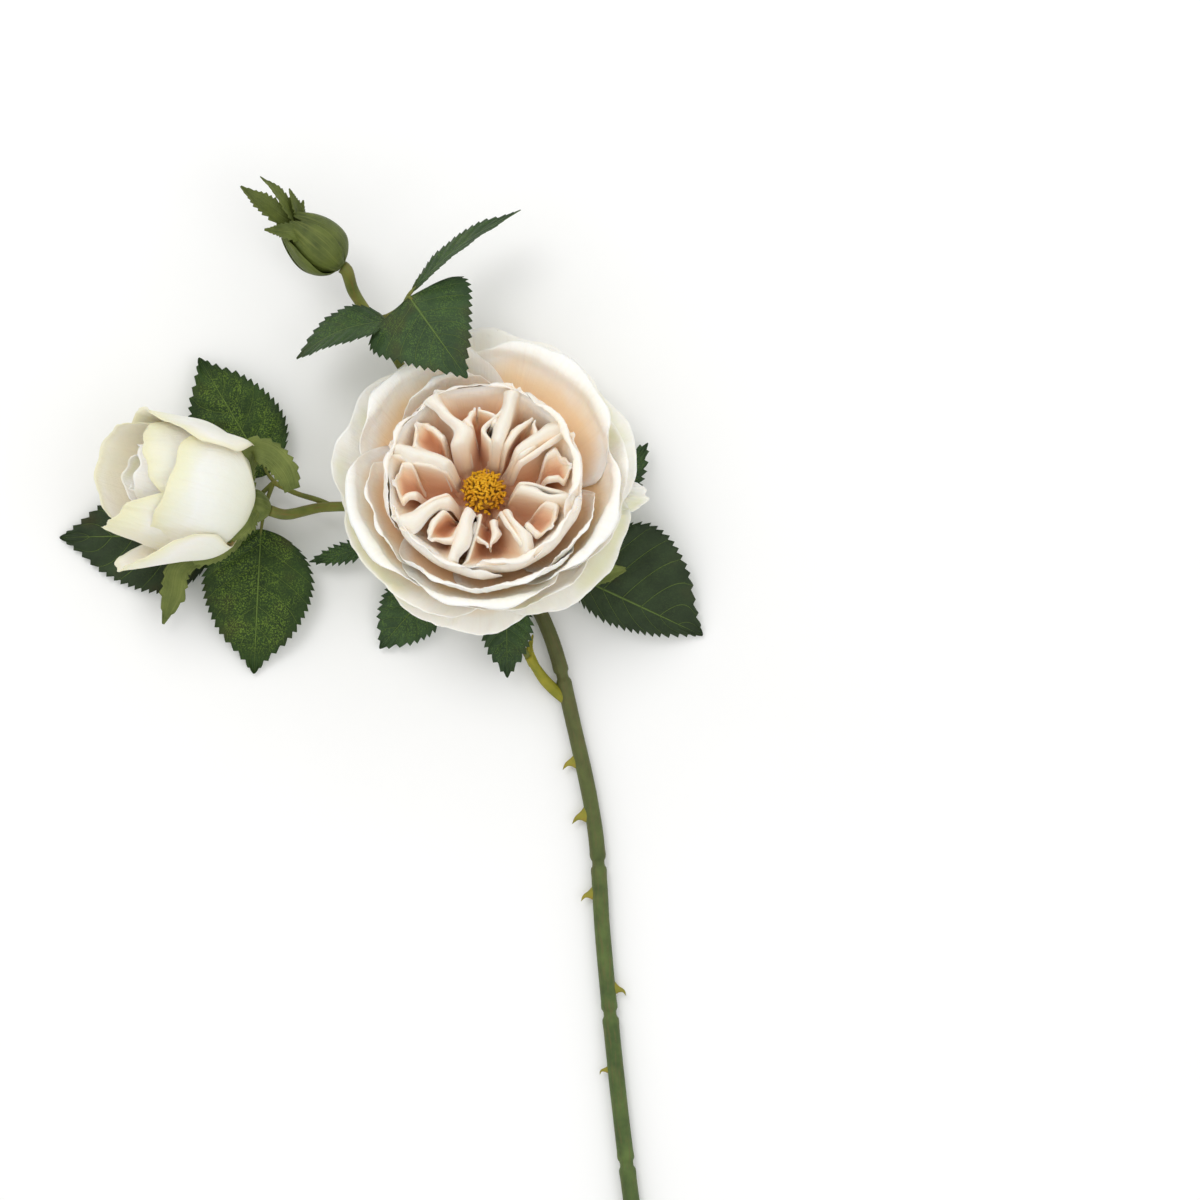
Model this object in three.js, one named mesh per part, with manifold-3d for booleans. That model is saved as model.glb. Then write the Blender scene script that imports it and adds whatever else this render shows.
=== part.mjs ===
// A cut garden rose lying on a table: one stem with an open bloom, a half-open bud and a small closed bud.
// Millimetres, +Z up. The bloom looks straight up, the stem runs away along -Y, the half-open bud lies at -X.
import * as THREE from 'three';
import { mergeVertices } from 'three/addons/utils/BufferGeometryUtils.js';
import Module from 'manifold-3d';

const wasm = await Module();
wasm.setup();

const V = (x, y, z) => new THREE.Vector3(x, y, z);

// ---- driving dimensions ----
const CLEARANCE = 0.3; // gap kept between pieces that touch on the real rose
const PETAL_THICKNESS = 0.8;
const LEAF_THICKNESS = 0.8;
const SEPAL_THICKNESS = 1.2;

const STEM_LENGTH_BELOW = 332; // from the first bend below the bloom down to the cut end
const STEM_RADIUS_TOP = 2.8;
const STEM_RADIUS_CUT = 3.4;
const FIRST_GROOVE = 116; // from the hip along the stem to its first narrow ring
const GROOVE_SPACING = 56;
const GROOVE_HALF_WIDTH = 3;
const GROOVE_DEPTH = 0.5;
const THORN_LENGTH = 4.6;
const THORN_BASE = 3.2;

const BRANCH_RADIUS = 1.95;
const STALK_RADIUS = 1.1;

const HIP_HEIGHT = 13;
const HIP_RADIUS = 9.4;
const BLOOM_TILT = 18; // degrees that the open bloom leans back towards +Y
const HIP_TOP = V(0, -8.5, 34); // middle of the ring where the bloom's petals spring from the hip
const BLOOM_RADIUS = 59; // reach of the lowest guard petals
const GUARD_RADIUS = 57;
const BACK_REACH = 0.1; // share by which the outer petals reach further at the back than at the sides
const CUP_RADIUS = 50;
const COLLAR_RADIUS = 38.5;
const HEART_GAP = 7.5; // the folded petals of the rosette stay this far inside the collar
const HEART_RADIUS = COLLAR_RADIUS - HEART_GAP;
const ROSETTE_HEIGHT = 33; // from the hip's top to the collar's rim
const STAMEN_RADIUS = 8.6;
const STAMEN_HEIGHT = 17;

const BUD_LENGTH = 60;
const BUD_RADIUS = 29;
const BUD_HIP_RADIUS = 6.5;
const BUD_HIP_LENGTH = 9;

const SMALL_BUD_LENGTH = 27;
const SMALL_BUD_RADIUS = 10.5;

const turn = (degrees) => THREE.MathUtils.degToRad(degrees);

// ---- finishes ----
const finish = (color, roughness) => new THREE.MeshStandardMaterial({ color, roughness, metalness: 0 });
const colours = {
  petal: 0xebe8de, blush: 0xebd2be, stamen: 0xcd9614, stem: 0x5a6937,
  leaf: 0x374b32, sepal: 0x6e7d37, bud: 0xeeeee8,
};

// ---- solids ----
function flipIfInsideOut(geometry) {
  const p = geometry.getAttribute('position');
  const index = geometry.getIndex().array;
  const a = V(), b = V(), c = V();
  let volume = 0;
  for (let i = 0; i < index.length; i += 3) {
    a.fromBufferAttribute(p, index[i]);
    b.fromBufferAttribute(p, index[i + 1]);
    c.fromBufferAttribute(p, index[i + 2]);
    volume += a.dot(b.cross(c));
  }
  if (volume < 0) {
    for (let i = 0; i < index.length; i += 3) [index[i], index[i + 1]] = [index[i + 1], index[i]];
  }
  geometry.computeVertexNormals();
  return geometry;
}

// A thin closed sheet: surface(s, w) runs s from 0 at the base to 1 at the tip, w from -1 to 1 across.
function sheetSolid(surface, thickness, along, across) {
  const positions = [];
  const step = 1e-3;
  const normalAt = (s, w) => {
    const s0 = Math.max(0, s - step), s1 = Math.min(1, s + step);
    const w0 = Math.max(-1, w - step), w1 = Math.min(1, w + step);
    const ds = surface(s1, w).sub(surface(s0, w));
    const dw = surface(s, w1).sub(surface(s, w0));
    return ds.cross(dw).normalize();
  };
  for (const side of [0.5, -0.5]) {
    for (let i = 0; i <= along; i++) {
      for (let j = 0; j <= across; j++) {
        const s = i / along, w = -1 + (2 * j) / across;
        positions.push(...surface(s, w).addScaledVector(normalAt(s, w), side * thickness).toArray());
      }
    }
  }
  const back = (along + 1) * (across + 1);
  const at = (i, j) => i * (across + 1) + j;
  const faces = [];
  const quad = (a, b, c, d) => faces.push(a, b, c, a, c, d);
  for (let i = 0; i < along; i++) {
    for (let j = 0; j < across; j++) {
      const [a, b, c, d] = [at(i, j), at(i + 1, j), at(i + 1, j + 1), at(i, j + 1)];
      quad(a, b, c, d);
      quad(back + d, back + c, back + b, back + a);
    }
    quad(at(i, 0), back + at(i, 0), back + at(i + 1, 0), at(i + 1, 0));
    quad(at(i + 1, across), back + at(i + 1, across), back + at(i, across), at(i, across));
  }
  for (let j = 0; j < across; j++) {
    quad(at(0, j + 1), back + at(0, j + 1), back + at(0, j), at(0, j));
    quad(at(along, j), back + at(along, j), back + at(along, j + 1), at(along, j + 1));
  }
  const geometry = new THREE.BufferGeometry();
  geometry.setAttribute('position', new THREE.Float32BufferAttribute(positions, 3));
  geometry.setIndex(faces);
  return flipIfInsideOut(geometry);
}

function welded(geometry) {
  geometry.deleteAttribute('normal');
  geometry.deleteAttribute('uv');
  return mergeVertices(geometry, 1e-4);
}

// A round tube along a smooth curve through the points; radiusAt(t) sets its radius from end to end.
function tube(points, radiusAt, steps, sides = 8) {
  const path = new THREE.CatmullRomCurve3(points, false, 'centripetal');
  const circle = new THREE.Shape();
  circle.absarc(0, 0, 1, 0, 2 * Math.PI, false);
  const options = { steps, extrudePath: path, bevelEnabled: false, curveSegments: sides / 2 };
  const geometry = welded(new THREE.ExtrudeGeometry(circle, options));
  const centres = path.getSpacedPoints(steps);
  const p = geometry.getAttribute('position');
  const v = V();
  for (let i = 0; i < p.count; i++) {
    v.fromBufferAttribute(p, i);
    let near = 0;
    centres.forEach((c, k) => { if (c.distanceTo(v) < centres[near].distanceTo(v)) near = k; });
    v.sub(centres[near]).multiplyScalar(radiusAt(near / steps)).add(centres[near]);
    p.setXYZ(i, v.x, v.y, v.z);
  }
  return flipIfInsideOut(geometry);
}

function solidOf(geometry) {
  const joined = welded(geometry.clone());
  return new wasm.Manifold(new wasm.Mesh({
    numProp: 3,
    vertProperties: new Float32Array(joined.getAttribute('position').array),
    triVerts: new Uint32Array(joined.getIndex().array),
  }));
}

// Joins pieces that grew as one into a single solid.
function grownTogether(...geometries) {
  const joined = geometries.map(solidOf).reduce((a, b) => a.add(b)).getMesh();
  const geometry = new THREE.BufferGeometry();
  const xyz = [];
  for (let i = 0; i < joined.vertProperties.length; i += joined.numProp) {
    xyz.push(...joined.vertProperties.slice(i, i + 3));
  }
  geometry.setAttribute('position', new THREE.Float32BufferAttribute(xyz, 3));
  geometry.setIndex(Array.from(joined.triVerts));
  geometry.computeVertexNormals();
  return geometry;
}

function lathe(outline, sides) {
  const profile = outline.map(([r, z]) => new THREE.Vector2(r, z));
  const geometry = new THREE.LatheGeometry(profile, sides);
  geometry.rotateX(Math.PI / 2);
  return flipIfInsideOut(welded(geometry));
}

function spike(base, tip, radius, sides = 6) {
  const axis = tip.clone().sub(base);
  const cone = new THREE.ConeGeometry(radius, axis.length(), sides);
  cone.translate(0, axis.length() / 2, 0);
  cone.applyQuaternion(new THREE.Quaternion().setFromUnitVectors(V(0, 1, 0), axis.normalize()));
  return cone.translate(base.x, base.y, base.z);
}

const smooth = (x, low, high) => THREE.MathUtils.smoothstep(x, low, high);

function bezier(points, t) {
  const u = 1 - t;
  const mix = (k) => u ** 3 * points[0][k] + 3 * u * u * t * points[1][k]
    + 3 * u * t * t * points[2][k] + t ** 3 * points[3][k];
  return [mix(0), mix(1)];
}

// A petal cut from a cup of revolution, which reaches further at the back by the share backReach. Its
// outline is narrow at the claw and rounded at the rim. One edge stands in front of the next petal, and
// the other edge tucks behind the one before.
function whorlPetal({ profile, azimuth, halfSpan, tuck, backReach = 0, rounding = 0.16, across = 6 }) {
  const surface = (s, w) => {
    const t = s * (1 - rounding * Math.abs(w) ** 3 * s);
    const span = halfSpan * (0.3 + 0.7 * smooth(s, 0.1, 0.6));
    const [r, z] = bezier(profile, t);
    const [r1, z1] = bezier(profile, t + 1e-3);
    const slope = Math.hypot(r1 - r, z1 - z);
    const offset = tuck * w * smooth(s, 0.08, 0.32);
    const angle = azimuth + w * span;
    const radius = (r + (offset * (z1 - z)) / slope) * (1 + backReach * t * Math.sin(angle));
    const height = z - (offset * (r1 - r)) / slope;
    return V(radius * Math.cos(angle), radius * Math.sin(angle), height);
  };
  return sheetSolid(surface, PETAL_THICKNESS, 7, across);
}

// A petal of the rosette, folded lengthwise into a trough whose two rims stand up side by side.
function foldedPetal({ profile, azimuth, sector, rim }) {
  const surface = (s, w) => {
    const [r, z] = bezier(profile, s);
    const half = (r * Math.tan(sector / 2) - PETAL_THICKNESS / 2 - CLEARANCE) * 0.9;
    const depth = (rim - z) * smooth(r, STAMEN_RADIUS + 1, STAMEN_RADIUS + 9);
    const side = half * Math.sin((w * Math.PI) / 2);
    const up = z + depth * (1 - Math.cos((w * Math.PI) / 2));
    const [c, d] = [Math.cos(azimuth), Math.sin(azimuth)];
    return V(r * c - side * d, r * d + side * c, up);
  };
  return sheetSolid(surface, PETAL_THICKNESS, 7, 6);
}

// A leaflet from base to tip. left and right are its half widths, fold lifts both halves off the
// midrib, roll turns it about the midrib, arch bows the midrib upwards and a small belly widens the base.
function leaflet({ base, tip, left, right, fold, arch, roll = 0, belly = 0.72 }) {
  const run = tip.clone().sub(base);
  const length = run.length();
  run.normalize();
  const up = V(0, 0, 1).addScaledVector(run, -run.z).normalize().applyAxisAngle(run, roll);
  const across = up.clone().cross(run);
  const surface = (s, w) => {
    const shape = 0.04 + 0.96 * Math.sin(Math.PI * s ** belly) ** 0.8 * (1 - 0.18 * s);
    const half = (w > 0 ? left : right) * (s > 0 && s < 1 ? shape : 0.04) * Math.abs(w);
    const lift = half * Math.sin(fold) + arch * Math.sin(Math.PI * s);
    return base.clone().addScaledVector(run, s * length)
      .addScaledVector(across, Math.sign(w) * half * Math.cos(fold))
      .addScaledVector(up, lift);
  };
  return sheetSolid(surface, LEAF_THICKNESS, 9, 4);
}

// A sepal springs from a hip's rim and curls outwards: reach across, drop along the axis.
function sepal({ azimuth, root, length, width, lift, droop }) {
  const tip = root + length;
  const profile = [[root, 0], [tip - length * 0.65, lift], [tip - length * 0.25, lift], [tip, -droop]];
  const surface = (s, w) => {
    const [r, z] = bezier(profile, s);
    const half = width * (1 - 0.85 * s ** 1.5) * w;
    const [c, d] = [Math.cos(azimuth), Math.sin(azimuth)];
    return V(r * c - half * d, r * d + half * c, z - 0.8 * w * w);
  };
  return sheetSolid(surface, SEPAL_THICKNESS, 6, 2);
}

// ---- assembly ----
const spray = new THREE.Group();
function add(name, geometry, kind, parent = spray) {
  const mesh = new THREE.Mesh(geometry, finish(colours[kind], kind === 'leaf' ? 0.55 : 0.7));
  mesh.name = name;
  parent.add(mesh);
  return mesh;
}
// ---- main stem: lies on the table, then turns up into the hip ----
const stemBend = V(25.8, -62, STEM_RADIUS_TOP + 1.4);
const lowerStemRun = V(0.145, -1, 0).normalize(); // the lower stem leans a little towards +X
const cutEnd = stemBend.clone().addScaledVector(lowerStemRun, STEM_LENGTH_BELOW).setZ(STEM_RADIUS_CUT);
const bloomAxis = V(0, Math.sin(turn(BLOOM_TILT)), Math.cos(turn(BLOOM_TILT)));
const alongBloom = (distance) => HIP_TOP.clone().addScaledVector(bloomAxis, distance);
const lowerStem = (share, bow = 0) =>
  stemBend.clone().lerp(cutEnd, share).add(V(bow, 0, 0)).setZ(STEM_RADIUS_CUT);
const stemRoute = [
  alongBloom(-HIP_HEIGHT - CLEARANCE), alongBloom(-HIP_HEIGHT - 5), V(3.2, -20.5, 10.5), V(8, -28, 6.4),
  V(15.5, -40, 4.8), stemBend,
  lowerStem(0.1, 3.6), lowerStem(0.22, 6), lowerStem(0.35, 3), lowerStem(0.55), lowerStem(0.75, -1), cutEnd,
];
const stemCurve = new THREE.CatmullRomCurve3(stemRoute, false, 'centripetal');
const stemLength = stemCurve.getLength();
function stemRadius(t) {
  const plain = THREE.MathUtils.lerp(STEM_RADIUS_TOP, STEM_RADIUS_CUT, t);
  const below = t * stemLength - FIRST_GROOVE;
  const fromGroove = Math.abs(below - Math.round(below / GROOVE_SPACING) * GROOVE_SPACING);
  return below > -GROOVE_HALF_WIDTH && fromGroove < GROOVE_HALF_WIDTH ? plain - GROOVE_DEPTH : plain;
}

// The point of the stem's centre line at a given y, and how far along the stem it is.
function stemAt(y) {
  let low = 0, high = 1;
  for (let k = 0; k < 24; k++) {
    const middle = (low + high) / 2;
    if (stemCurve.getPointAt(middle).y > y) low = middle; else high = middle;
  }
  return { point: stemCurve.getPointAt(low), t: low };
}
const thorns = [
  { y: -110, side: -1, grow: 1.1 }, { y: -131, side: -1, grow: 1.2 }, { y: -161, side: -1, grow: 1 },
  { y: -198, side: 1, grow: 0.9 }, { y: -229, side: -1, grow: 0.7 }, { y: -306, side: 1, grow: 0.9 },
].map(({ y, side, grow }) => {
  const { point, t } = stemAt(y);
  const tip = point.clone().add(V(side * (stemRadius(t) + THORN_LENGTH * grow), -1.2, 1.6));
  return spike(point, tip, (THORN_BASE / 2) * (1 + grow) * 0.75);
});
const sideShoot = tube([stemAt(-82).point, V(20, -73.5, 7), V(16.6, -68, 9)], (t) => 2.6 - 1.0 * t, 6);
const stem = tube(stemRoute, stemRadius, 72, 10);
add('main_stem', grownTogether(stem, sideShoot, ...thorns), 'stem');

// ---- branches and leaf stalks ----
const BUD_BASE = V(-91, -9.6, 29.5);
const BUD_AXIS = V(-0.9, 0.24, 0.33).normalize();
const budFoot = BUD_BASE.clone().addScaledVector(BUD_AXIS, -BUD_HIP_LENGTH - CLEARANCE);
const budNeck = budFoot.clone().addScaledVector(BUD_AXIS, -7);
const budRoute = [
  V(-1.2, -21.3, 13), V(-14, -16, 11.5), V(-40, -10.4, 11), V(-62, -9.9, 13), budNeck, budFoot,
];
add('bud_branch', tube(budRoute, () => BRANCH_RADIUS, 22), 'stem');

const SMALL_BUD_BASE = V(-54.8, 81.8, 31);
const SMALL_BUD_AXIS = V(-0.75, 0.62, 0.2).normalize();
const smallBudFoot = SMALL_BUD_BASE.clone().addScaledVector(SMALL_BUD_AXIS, -CLEARANCE);
const smallBudNeck = smallBudFoot.clone().addScaledVector(SMALL_BUD_AXIS, -4);
const topRoute = [
  V(-3.2, -11, 10), V(-10, 6, 7.5), V(-22, 27, 5.8), V(-34.5, 46.5, 7.5), V(-45.5, 63.5, 17.5),
  smallBudNeck, smallBudFoot,
];
add('top_branch', tube(topRoute, () => BRANCH_RADIUS, 24), 'stem');

const leafStalk = (name, ...points) => add(name, tube(points, () => STALK_RADIUS, 12, 6), 'stem');
leafStalk('lower_leaf_stalk', V(15.4, -66.4, 9.7), V(12, -60, 9.5), V(8.3, -42, 9.5));
leafStalk('right_leaf_stalk', V(23.2, -49, 8.6), V(28, -44, 9), V(33, -38, 9.5));
leafStalk('back_leaf_stalk', V(3.4, -29, 5.6), V(-8, -33.5, 6), V(-19, -39, 7));
leafStalk('left_leaf_stalk', V(-24, -17, 9), V(-33, -21, 9), V(-43, -24.8, 9));
leafStalk('bud_leaf_stalk', V(-63, -6.6, 12.4), V(-73, -5, 10.5), V(-82.5, -0.5, 9.8));
leafStalk('top_leaf_stalk', V(-42, 61.6, 21.5), V(-35.5, 63.5, 32), V(-29.5, 67.5, 39.6));

// ---- bloom ----
const bloom = new THREE.Group();
bloom.position.copy(HIP_TOP);
bloom.quaternion.setFromUnitVectors(V(0, 0, 1), bloomAxis);
spray.add(bloom);

const hip = lathe([[0, -HIP_HEIGHT], [STEM_RADIUS_TOP, -HIP_HEIGHT], [HIP_RADIUS * 0.72, -HIP_HEIGHT * 0.72],
  [HIP_RADIUS, -HIP_HEIGHT * 0.3], [HIP_RADIUS * 0.85, -CLEARANCE], [0, -CLEARANCE]], 20);
const hipSepals = [0, 1, 2, 3, 4].map((k) => sepal({
  azimuth: turn(18 + 72 * k), root: HIP_RADIUS - 1.5, length: 24, width: 4.2, lift: -4, droop: 8,
}).translate(0, 0, -HIP_HEIGHT * 0.4));
add('bloom_calyx', grownTogether(hip, ...hipSepals), 'sepal', bloom);

// Whorls from the outside in: each cup rises from its own ring on the hip.
const RING_STEP = PETAL_THICKNESS + CLEARANCE + 0.1;
const claw = PETAL_THICKNESS / 2;
const clawPoint = (whorl) => [HIP_RADIUS - PETAL_THICKNESS - whorl * RING_STEP, claw + whorl * RING_STEP];
const HEART_RING = 4; // the rosette's folded petals spring from the innermost ring
const whorls = [
  { name: 'low_guard_petal', kind: 'petal', start: 40, halfSpan: 50, backReach: BACK_REACH,
    profile: [clawPoint(0), [24, -8], [BLOOM_RADIUS - 14, -8], [BLOOM_RADIUS, -2]] },
  { name: 'guard_petal', kind: 'petal', start: 76, halfSpan: 50, backReach: BACK_REACH,
    profile: [clawPoint(1), [24, -3.2], [GUARD_RADIUS - 12, -3], [GUARD_RADIUS, 10]] },
  { name: 'cup_petal', kind: 'petal', start: 52, halfSpan: 50, backReach: BACK_REACH,
    profile: [clawPoint(2), [24, 1.5], [CUP_RADIUS - 3, 3], [CUP_RADIUS, 22]] },
  { name: 'collar_petal', kind: 'blush', start: 90, halfSpan: 48,
    profile: [clawPoint(3), [18, 5.5], [COLLAR_RADIUS - 0.5, 5], [COLLAR_RADIUS, ROSETTE_HEIGHT]] },
];
const PETALS_PER_WHORL = 5;
const TUCK = PETAL_THICKNESS + 0.15; // how far a petal's edge stands off its cup, in front or behind
for (const { name, kind, start, halfSpan, backReach, profile } of whorls) {
  for (let k = 0; k < PETALS_PER_WHORL; k++) {
    const azimuth = turn(start + (360 / PETALS_PER_WHORL) * k);
    const petal = whorlPetal({ profile, azimuth, halfSpan: turn(halfSpan), tuck: TUCK, backReach });
    add(`${name}_${k + 1}`, petal, kind, bloom);
  }
}

const FOLDED_PETALS = 8;
const FIRST_FOLDED_AZIMUTH = 96;
const foldedProfile = [
  clawPoint(HEART_RING), [12, 4.5], [HEART_RADIUS - 7, 10], [HEART_RADIUS, ROSETTE_HEIGHT - 8],
];
for (let k = 0; k < FOLDED_PETALS; k++) {
  const sector = (2 * Math.PI) / FOLDED_PETALS;
  const azimuth = turn(FIRST_FOLDED_AZIMUTH) + sector * k;
  const petal = foldedPetal({ profile: foldedProfile, azimuth, sector, rim: ROSETTE_HEIGHT - 3 });
  add(`folded_petal_${k + 1}`, petal, 'blush', bloom);
}

// The stamens stand inside the innermost ring of petals.
const STAMEN_NECK = clawPoint(HEART_RING)[0] - 1.4;
const stamenOutline = [
  [0, CLEARANCE], [STAMEN_NECK, CLEARANCE], [STAMEN_NECK, 6.5],
  [STAMEN_RADIUS - 1, 9.5], [STAMEN_RADIUS, 12.5],
  [STAMEN_RADIUS * 0.8, STAMEN_HEIGHT - 2], [STAMEN_RADIUS * 0.45, STAMEN_HEIGHT], [0, STAMEN_HEIGHT],
];
add('stamens', lathe(stamenOutline, 16), 'stamen', bloom);

// ---- half-open bud ----
const bud = new THREE.Group();
bud.position.copy(BUD_BASE);
bud.quaternion.setFromUnitVectors(V(0, 0, 1), BUD_AXIS);
spray.add(bud);

const budHip = lathe([
  [0, -BUD_HIP_LENGTH], [BRANCH_RADIUS, -BUD_HIP_LENGTH], [BUD_HIP_RADIUS, -BUD_HIP_LENGTH * 0.4],
  [BUD_HIP_RADIUS, -CLEARANCE], [0, -CLEARANCE],
], 16);
const budSepals = [20, 92, 164, 236, 308].map((azimuth) => sepal({
  azimuth: turn(azimuth), root: BUD_HIP_RADIUS - 1.5, length: 14, width: 3.6, lift: -6, droop: 9,
}).translate(0, 0, -BUD_HIP_LENGTH * 0.35));
add('bud_calyx', grownTogether(budHip, ...budSepals), 'sepal', bud);

const budRings = [
  { name: 'outer_bud_petal', start: 200, profile: [[5.6, claw], [BUD_RADIUS * 0.95, 1],
    [BUD_RADIUS * 1.2, BUD_LENGTH * 0.62], [BUD_RADIUS * 0.8, BUD_LENGTH - 6]] },
  { name: 'inner_bud_petal', start: 140, profile: [[4.3, claw], [BUD_RADIUS * 0.68, 5],
    [BUD_RADIUS * 0.98, BUD_LENGTH * 0.6], [BUD_RADIUS * 0.52, BUD_LENGTH]] },
];
const PETALS_PER_BUD_RING = 3;
const BUD_TUCK = PETAL_THICKNESS + CLEARANCE;
const BUD_HALF_SPAN = turn(82);
for (const { name, start, profile } of budRings) {
  for (let k = 0; k < PETALS_PER_BUD_RING; k++) {
    const azimuth = turn(start + (360 / PETALS_PER_BUD_RING) * k);
    const shape = { profile, azimuth, halfSpan: BUD_HALF_SPAN, tuck: BUD_TUCK, rounding: 0.12, across: 10 };
    const petal = whorlPetal(shape);
    add(`${name}_${k + 1}`, petal, 'bud', bud);
  }
}
const heart = BUD_RADIUS * 0.36;
add('bud_heart', lathe([[0, claw], [2.6, claw], [heart, BUD_LENGTH * 0.3], [heart * 1.15, BUD_LENGTH * 0.6],
  [heart * 0.7, BUD_LENGTH * 0.85], [1.5, BUD_LENGTH * 0.93], [0, BUD_LENGTH * 0.93]], 16), 'bud', bud);

// ---- small closed bud ----
const smallBud = new THREE.Group();
smallBud.position.copy(SMALL_BUD_BASE);
smallBud.quaternion.setFromUnitVectors(V(0, 0, 1), SMALL_BUD_AXIS);
spray.add(smallBud);
const R = SMALL_BUD_RADIUS, H = SMALL_BUD_LENGTH;
const smallBody = lathe([[0, 0], [BRANCH_RADIUS, 0], [R * 0.62, H * 0.12], [R, H * 0.36], [R * 0.95, H * 0.6],
  [R * 0.5, H * 0.88], [0, H]], 16);
const toBudFrame = smallBud.quaternion.clone().invert();
const sepalTips = [V(-38.4, 30.2, 9), V(-31, 34, 12), V(-29.5, 13.7, 8)].map((tip) => {
  const end = tip.applyQuaternion(toBudFrame);
  return spike(V(end.x * 0.25, end.y * 0.25, H * 0.55), end, R * 0.42, 6);
});
add('small_bud', grownTogether(smallBody, ...sepalTips), 'sepal', smallBud);

// ---- leaflets ----
const leaves = [
  { name: 'bud_leaf_upper', base: V(-84, 2.5, 9.5), tip: V(-110.9, 47.5, 5), left: 21, right: 18,
    fold: 0.05, arch: 1 },
  { name: 'bud_leaf_left', base: V(-104, -20.5, 4), tip: V(-165, -22, 0.6), left: 24, right: 21,
    fold: 0.02, arch: 0.5 },
  { name: 'bud_leaf_bottom', base: V(-86.5, -19, 11), tip: V(-89.7, -74.7, 0.6), left: 23, right: 23,
    fold: 0.1, arch: 3 },
  { name: 'top_leaf_tip', base: V(-28.5, 69.5, 42), tip: V(-6.2, 38.1, 60), left: 23, right: 25,
    fold: -0.2, arch: 5, belly: 0.42 },
  { name: 'top_leaf_left', base: V(-37.5, 60.5, 36), tip: V(-72, 46.2, 31), left: 14, right: 14,
    fold: 0.15, arch: 4, roll: 1.0 },
  { name: 'top_leaf_right', base: V(-26.5, 73.5, 41), tip: V(13.9, 103.2, 34), left: 10, right: 10,
    fold: 0.15, arch: 3, roll: -1.2 },
  { name: 'right_leaf', base: V(33, -36.5, 10.5), tip: V(84, -60, 0.6), left: 33, right: 12,
    fold: 0.12, arch: 3 },
  { name: 'right_leaf_small', base: V(44, -11, 10), tip: V(62.8, 14.5, 8), left: 8, right: 9,
    fold: 0.1, arch: 3 },
  { name: 'back_leaf', base: V(-20, -40.5, 7), tip: V(-41, -65, 3), left: 13, right: 14,
    fold: 0.1, arch: 1 },
  { name: 'lower_leaf', base: V(8.2, -45, 12), tip: V(8.5, -76.2, 11), left: 11, right: 11,
    fold: 0.1, arch: 2 },
  { name: 'left_leaf_small', base: V(-44.5, -25.5, 9), tip: V(-68.2, -31.5, 6), left: 4.5, right: 4.5,
    fold: 0.1, arch: 1 },
];
for (const { name, ...shape } of leaves) add(name, leaflet(shape), 'leaf');

// ---- origin: middle of the whole spray's footprint, on the table ----
const box = new THREE.Box3().setFromObject(spray, true);
const centre = box.getCenter(V());
spray.position.set(-centre.x, -centre.y, -box.min.z);
const rose = new THREE.Group();
rose.add(spray);

export default rose;
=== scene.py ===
# %% [markdown]
# # A cut garden rose on a table
# The real thing is one woody stem with an open bloom, a half-open bud, a tight little bud and a few toothed
# leaves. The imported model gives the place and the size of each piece. Here each piece gets its fine shape and
# its finish: thin petals with soft rolled rims, golden stamens, veined leaves and a ringed green stem.

# %% Load the fixed frame
import math

import bpy
import numpy as np
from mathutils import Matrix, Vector


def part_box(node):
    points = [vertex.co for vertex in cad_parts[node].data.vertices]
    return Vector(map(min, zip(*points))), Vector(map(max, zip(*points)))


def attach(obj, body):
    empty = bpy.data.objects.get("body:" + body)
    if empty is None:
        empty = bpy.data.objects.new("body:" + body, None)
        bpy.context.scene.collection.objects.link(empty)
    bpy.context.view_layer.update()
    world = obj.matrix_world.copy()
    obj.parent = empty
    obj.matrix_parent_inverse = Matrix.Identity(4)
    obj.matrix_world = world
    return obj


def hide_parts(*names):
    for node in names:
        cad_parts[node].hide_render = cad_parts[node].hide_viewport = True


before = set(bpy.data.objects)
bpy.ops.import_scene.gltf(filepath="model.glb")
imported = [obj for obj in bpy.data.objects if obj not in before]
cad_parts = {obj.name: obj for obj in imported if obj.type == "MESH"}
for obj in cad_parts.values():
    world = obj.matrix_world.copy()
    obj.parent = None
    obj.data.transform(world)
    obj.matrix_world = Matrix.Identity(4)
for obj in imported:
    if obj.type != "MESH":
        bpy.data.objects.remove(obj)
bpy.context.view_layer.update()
MM = 0.001
print("frame nodes:", len(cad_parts))

# %% [markdown]
# ## Where things are
# A florist measures a bloom from its hip, the green knob under the petals. The stamens' box gives that place:
# they are widest a known way up the bloom's own axis, which leans back a little. All other sizes below are
# millimetres from one drawing zero on the table under the bloom, so they can be read like a workshop drawing.

# %% The drawing's zero, and the spots of the bloom and the buds
BLOOM_LEAN = math.radians(18)
STAMEN_BELT = 12.5
STAMEN_FOOT = 0.3
STAMEN_NECK = 2.4
HIP_TOP = np.array([0, -8.5, 34])
low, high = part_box("stamens")
hip_in_frame = np.array([
    (low.x + high.x) / 2 / MM,
    (low.y + high.y) / 2 / MM - STAMEN_BELT * math.sin(BLOOM_LEAN),
    low.z / MM - STAMEN_FOOT * math.cos(BLOOM_LEAN) + STAMEN_NECK * math.sin(BLOOM_LEAN),
])
ZERO = hip_in_frame - HIP_TOP


def spot(origin, axis):
    """A place on the rose: its origin and the turn that brings +Z onto its axis."""
    turn = Vector((0, 0, 1)).rotation_difference(Vector(axis)).to_matrix()
    return np.array(origin, float), np.array(turn)


TABLE = spot((0, 0, 0), (0, 0, 1))
BLOOM = spot(HIP_TOP, (0, math.sin(BLOOM_LEAN), math.cos(BLOOM_LEAN)))
BUD = spot((-91, -9.6, 29.5), (-0.9, 0.24, 0.33))
SMALL_BUD = spot((-54.8, 81.8, 31), (-0.75, 0.62, 0.2))
print("drawing zero in the frame, mm:", ZERO.round(2))

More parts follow.
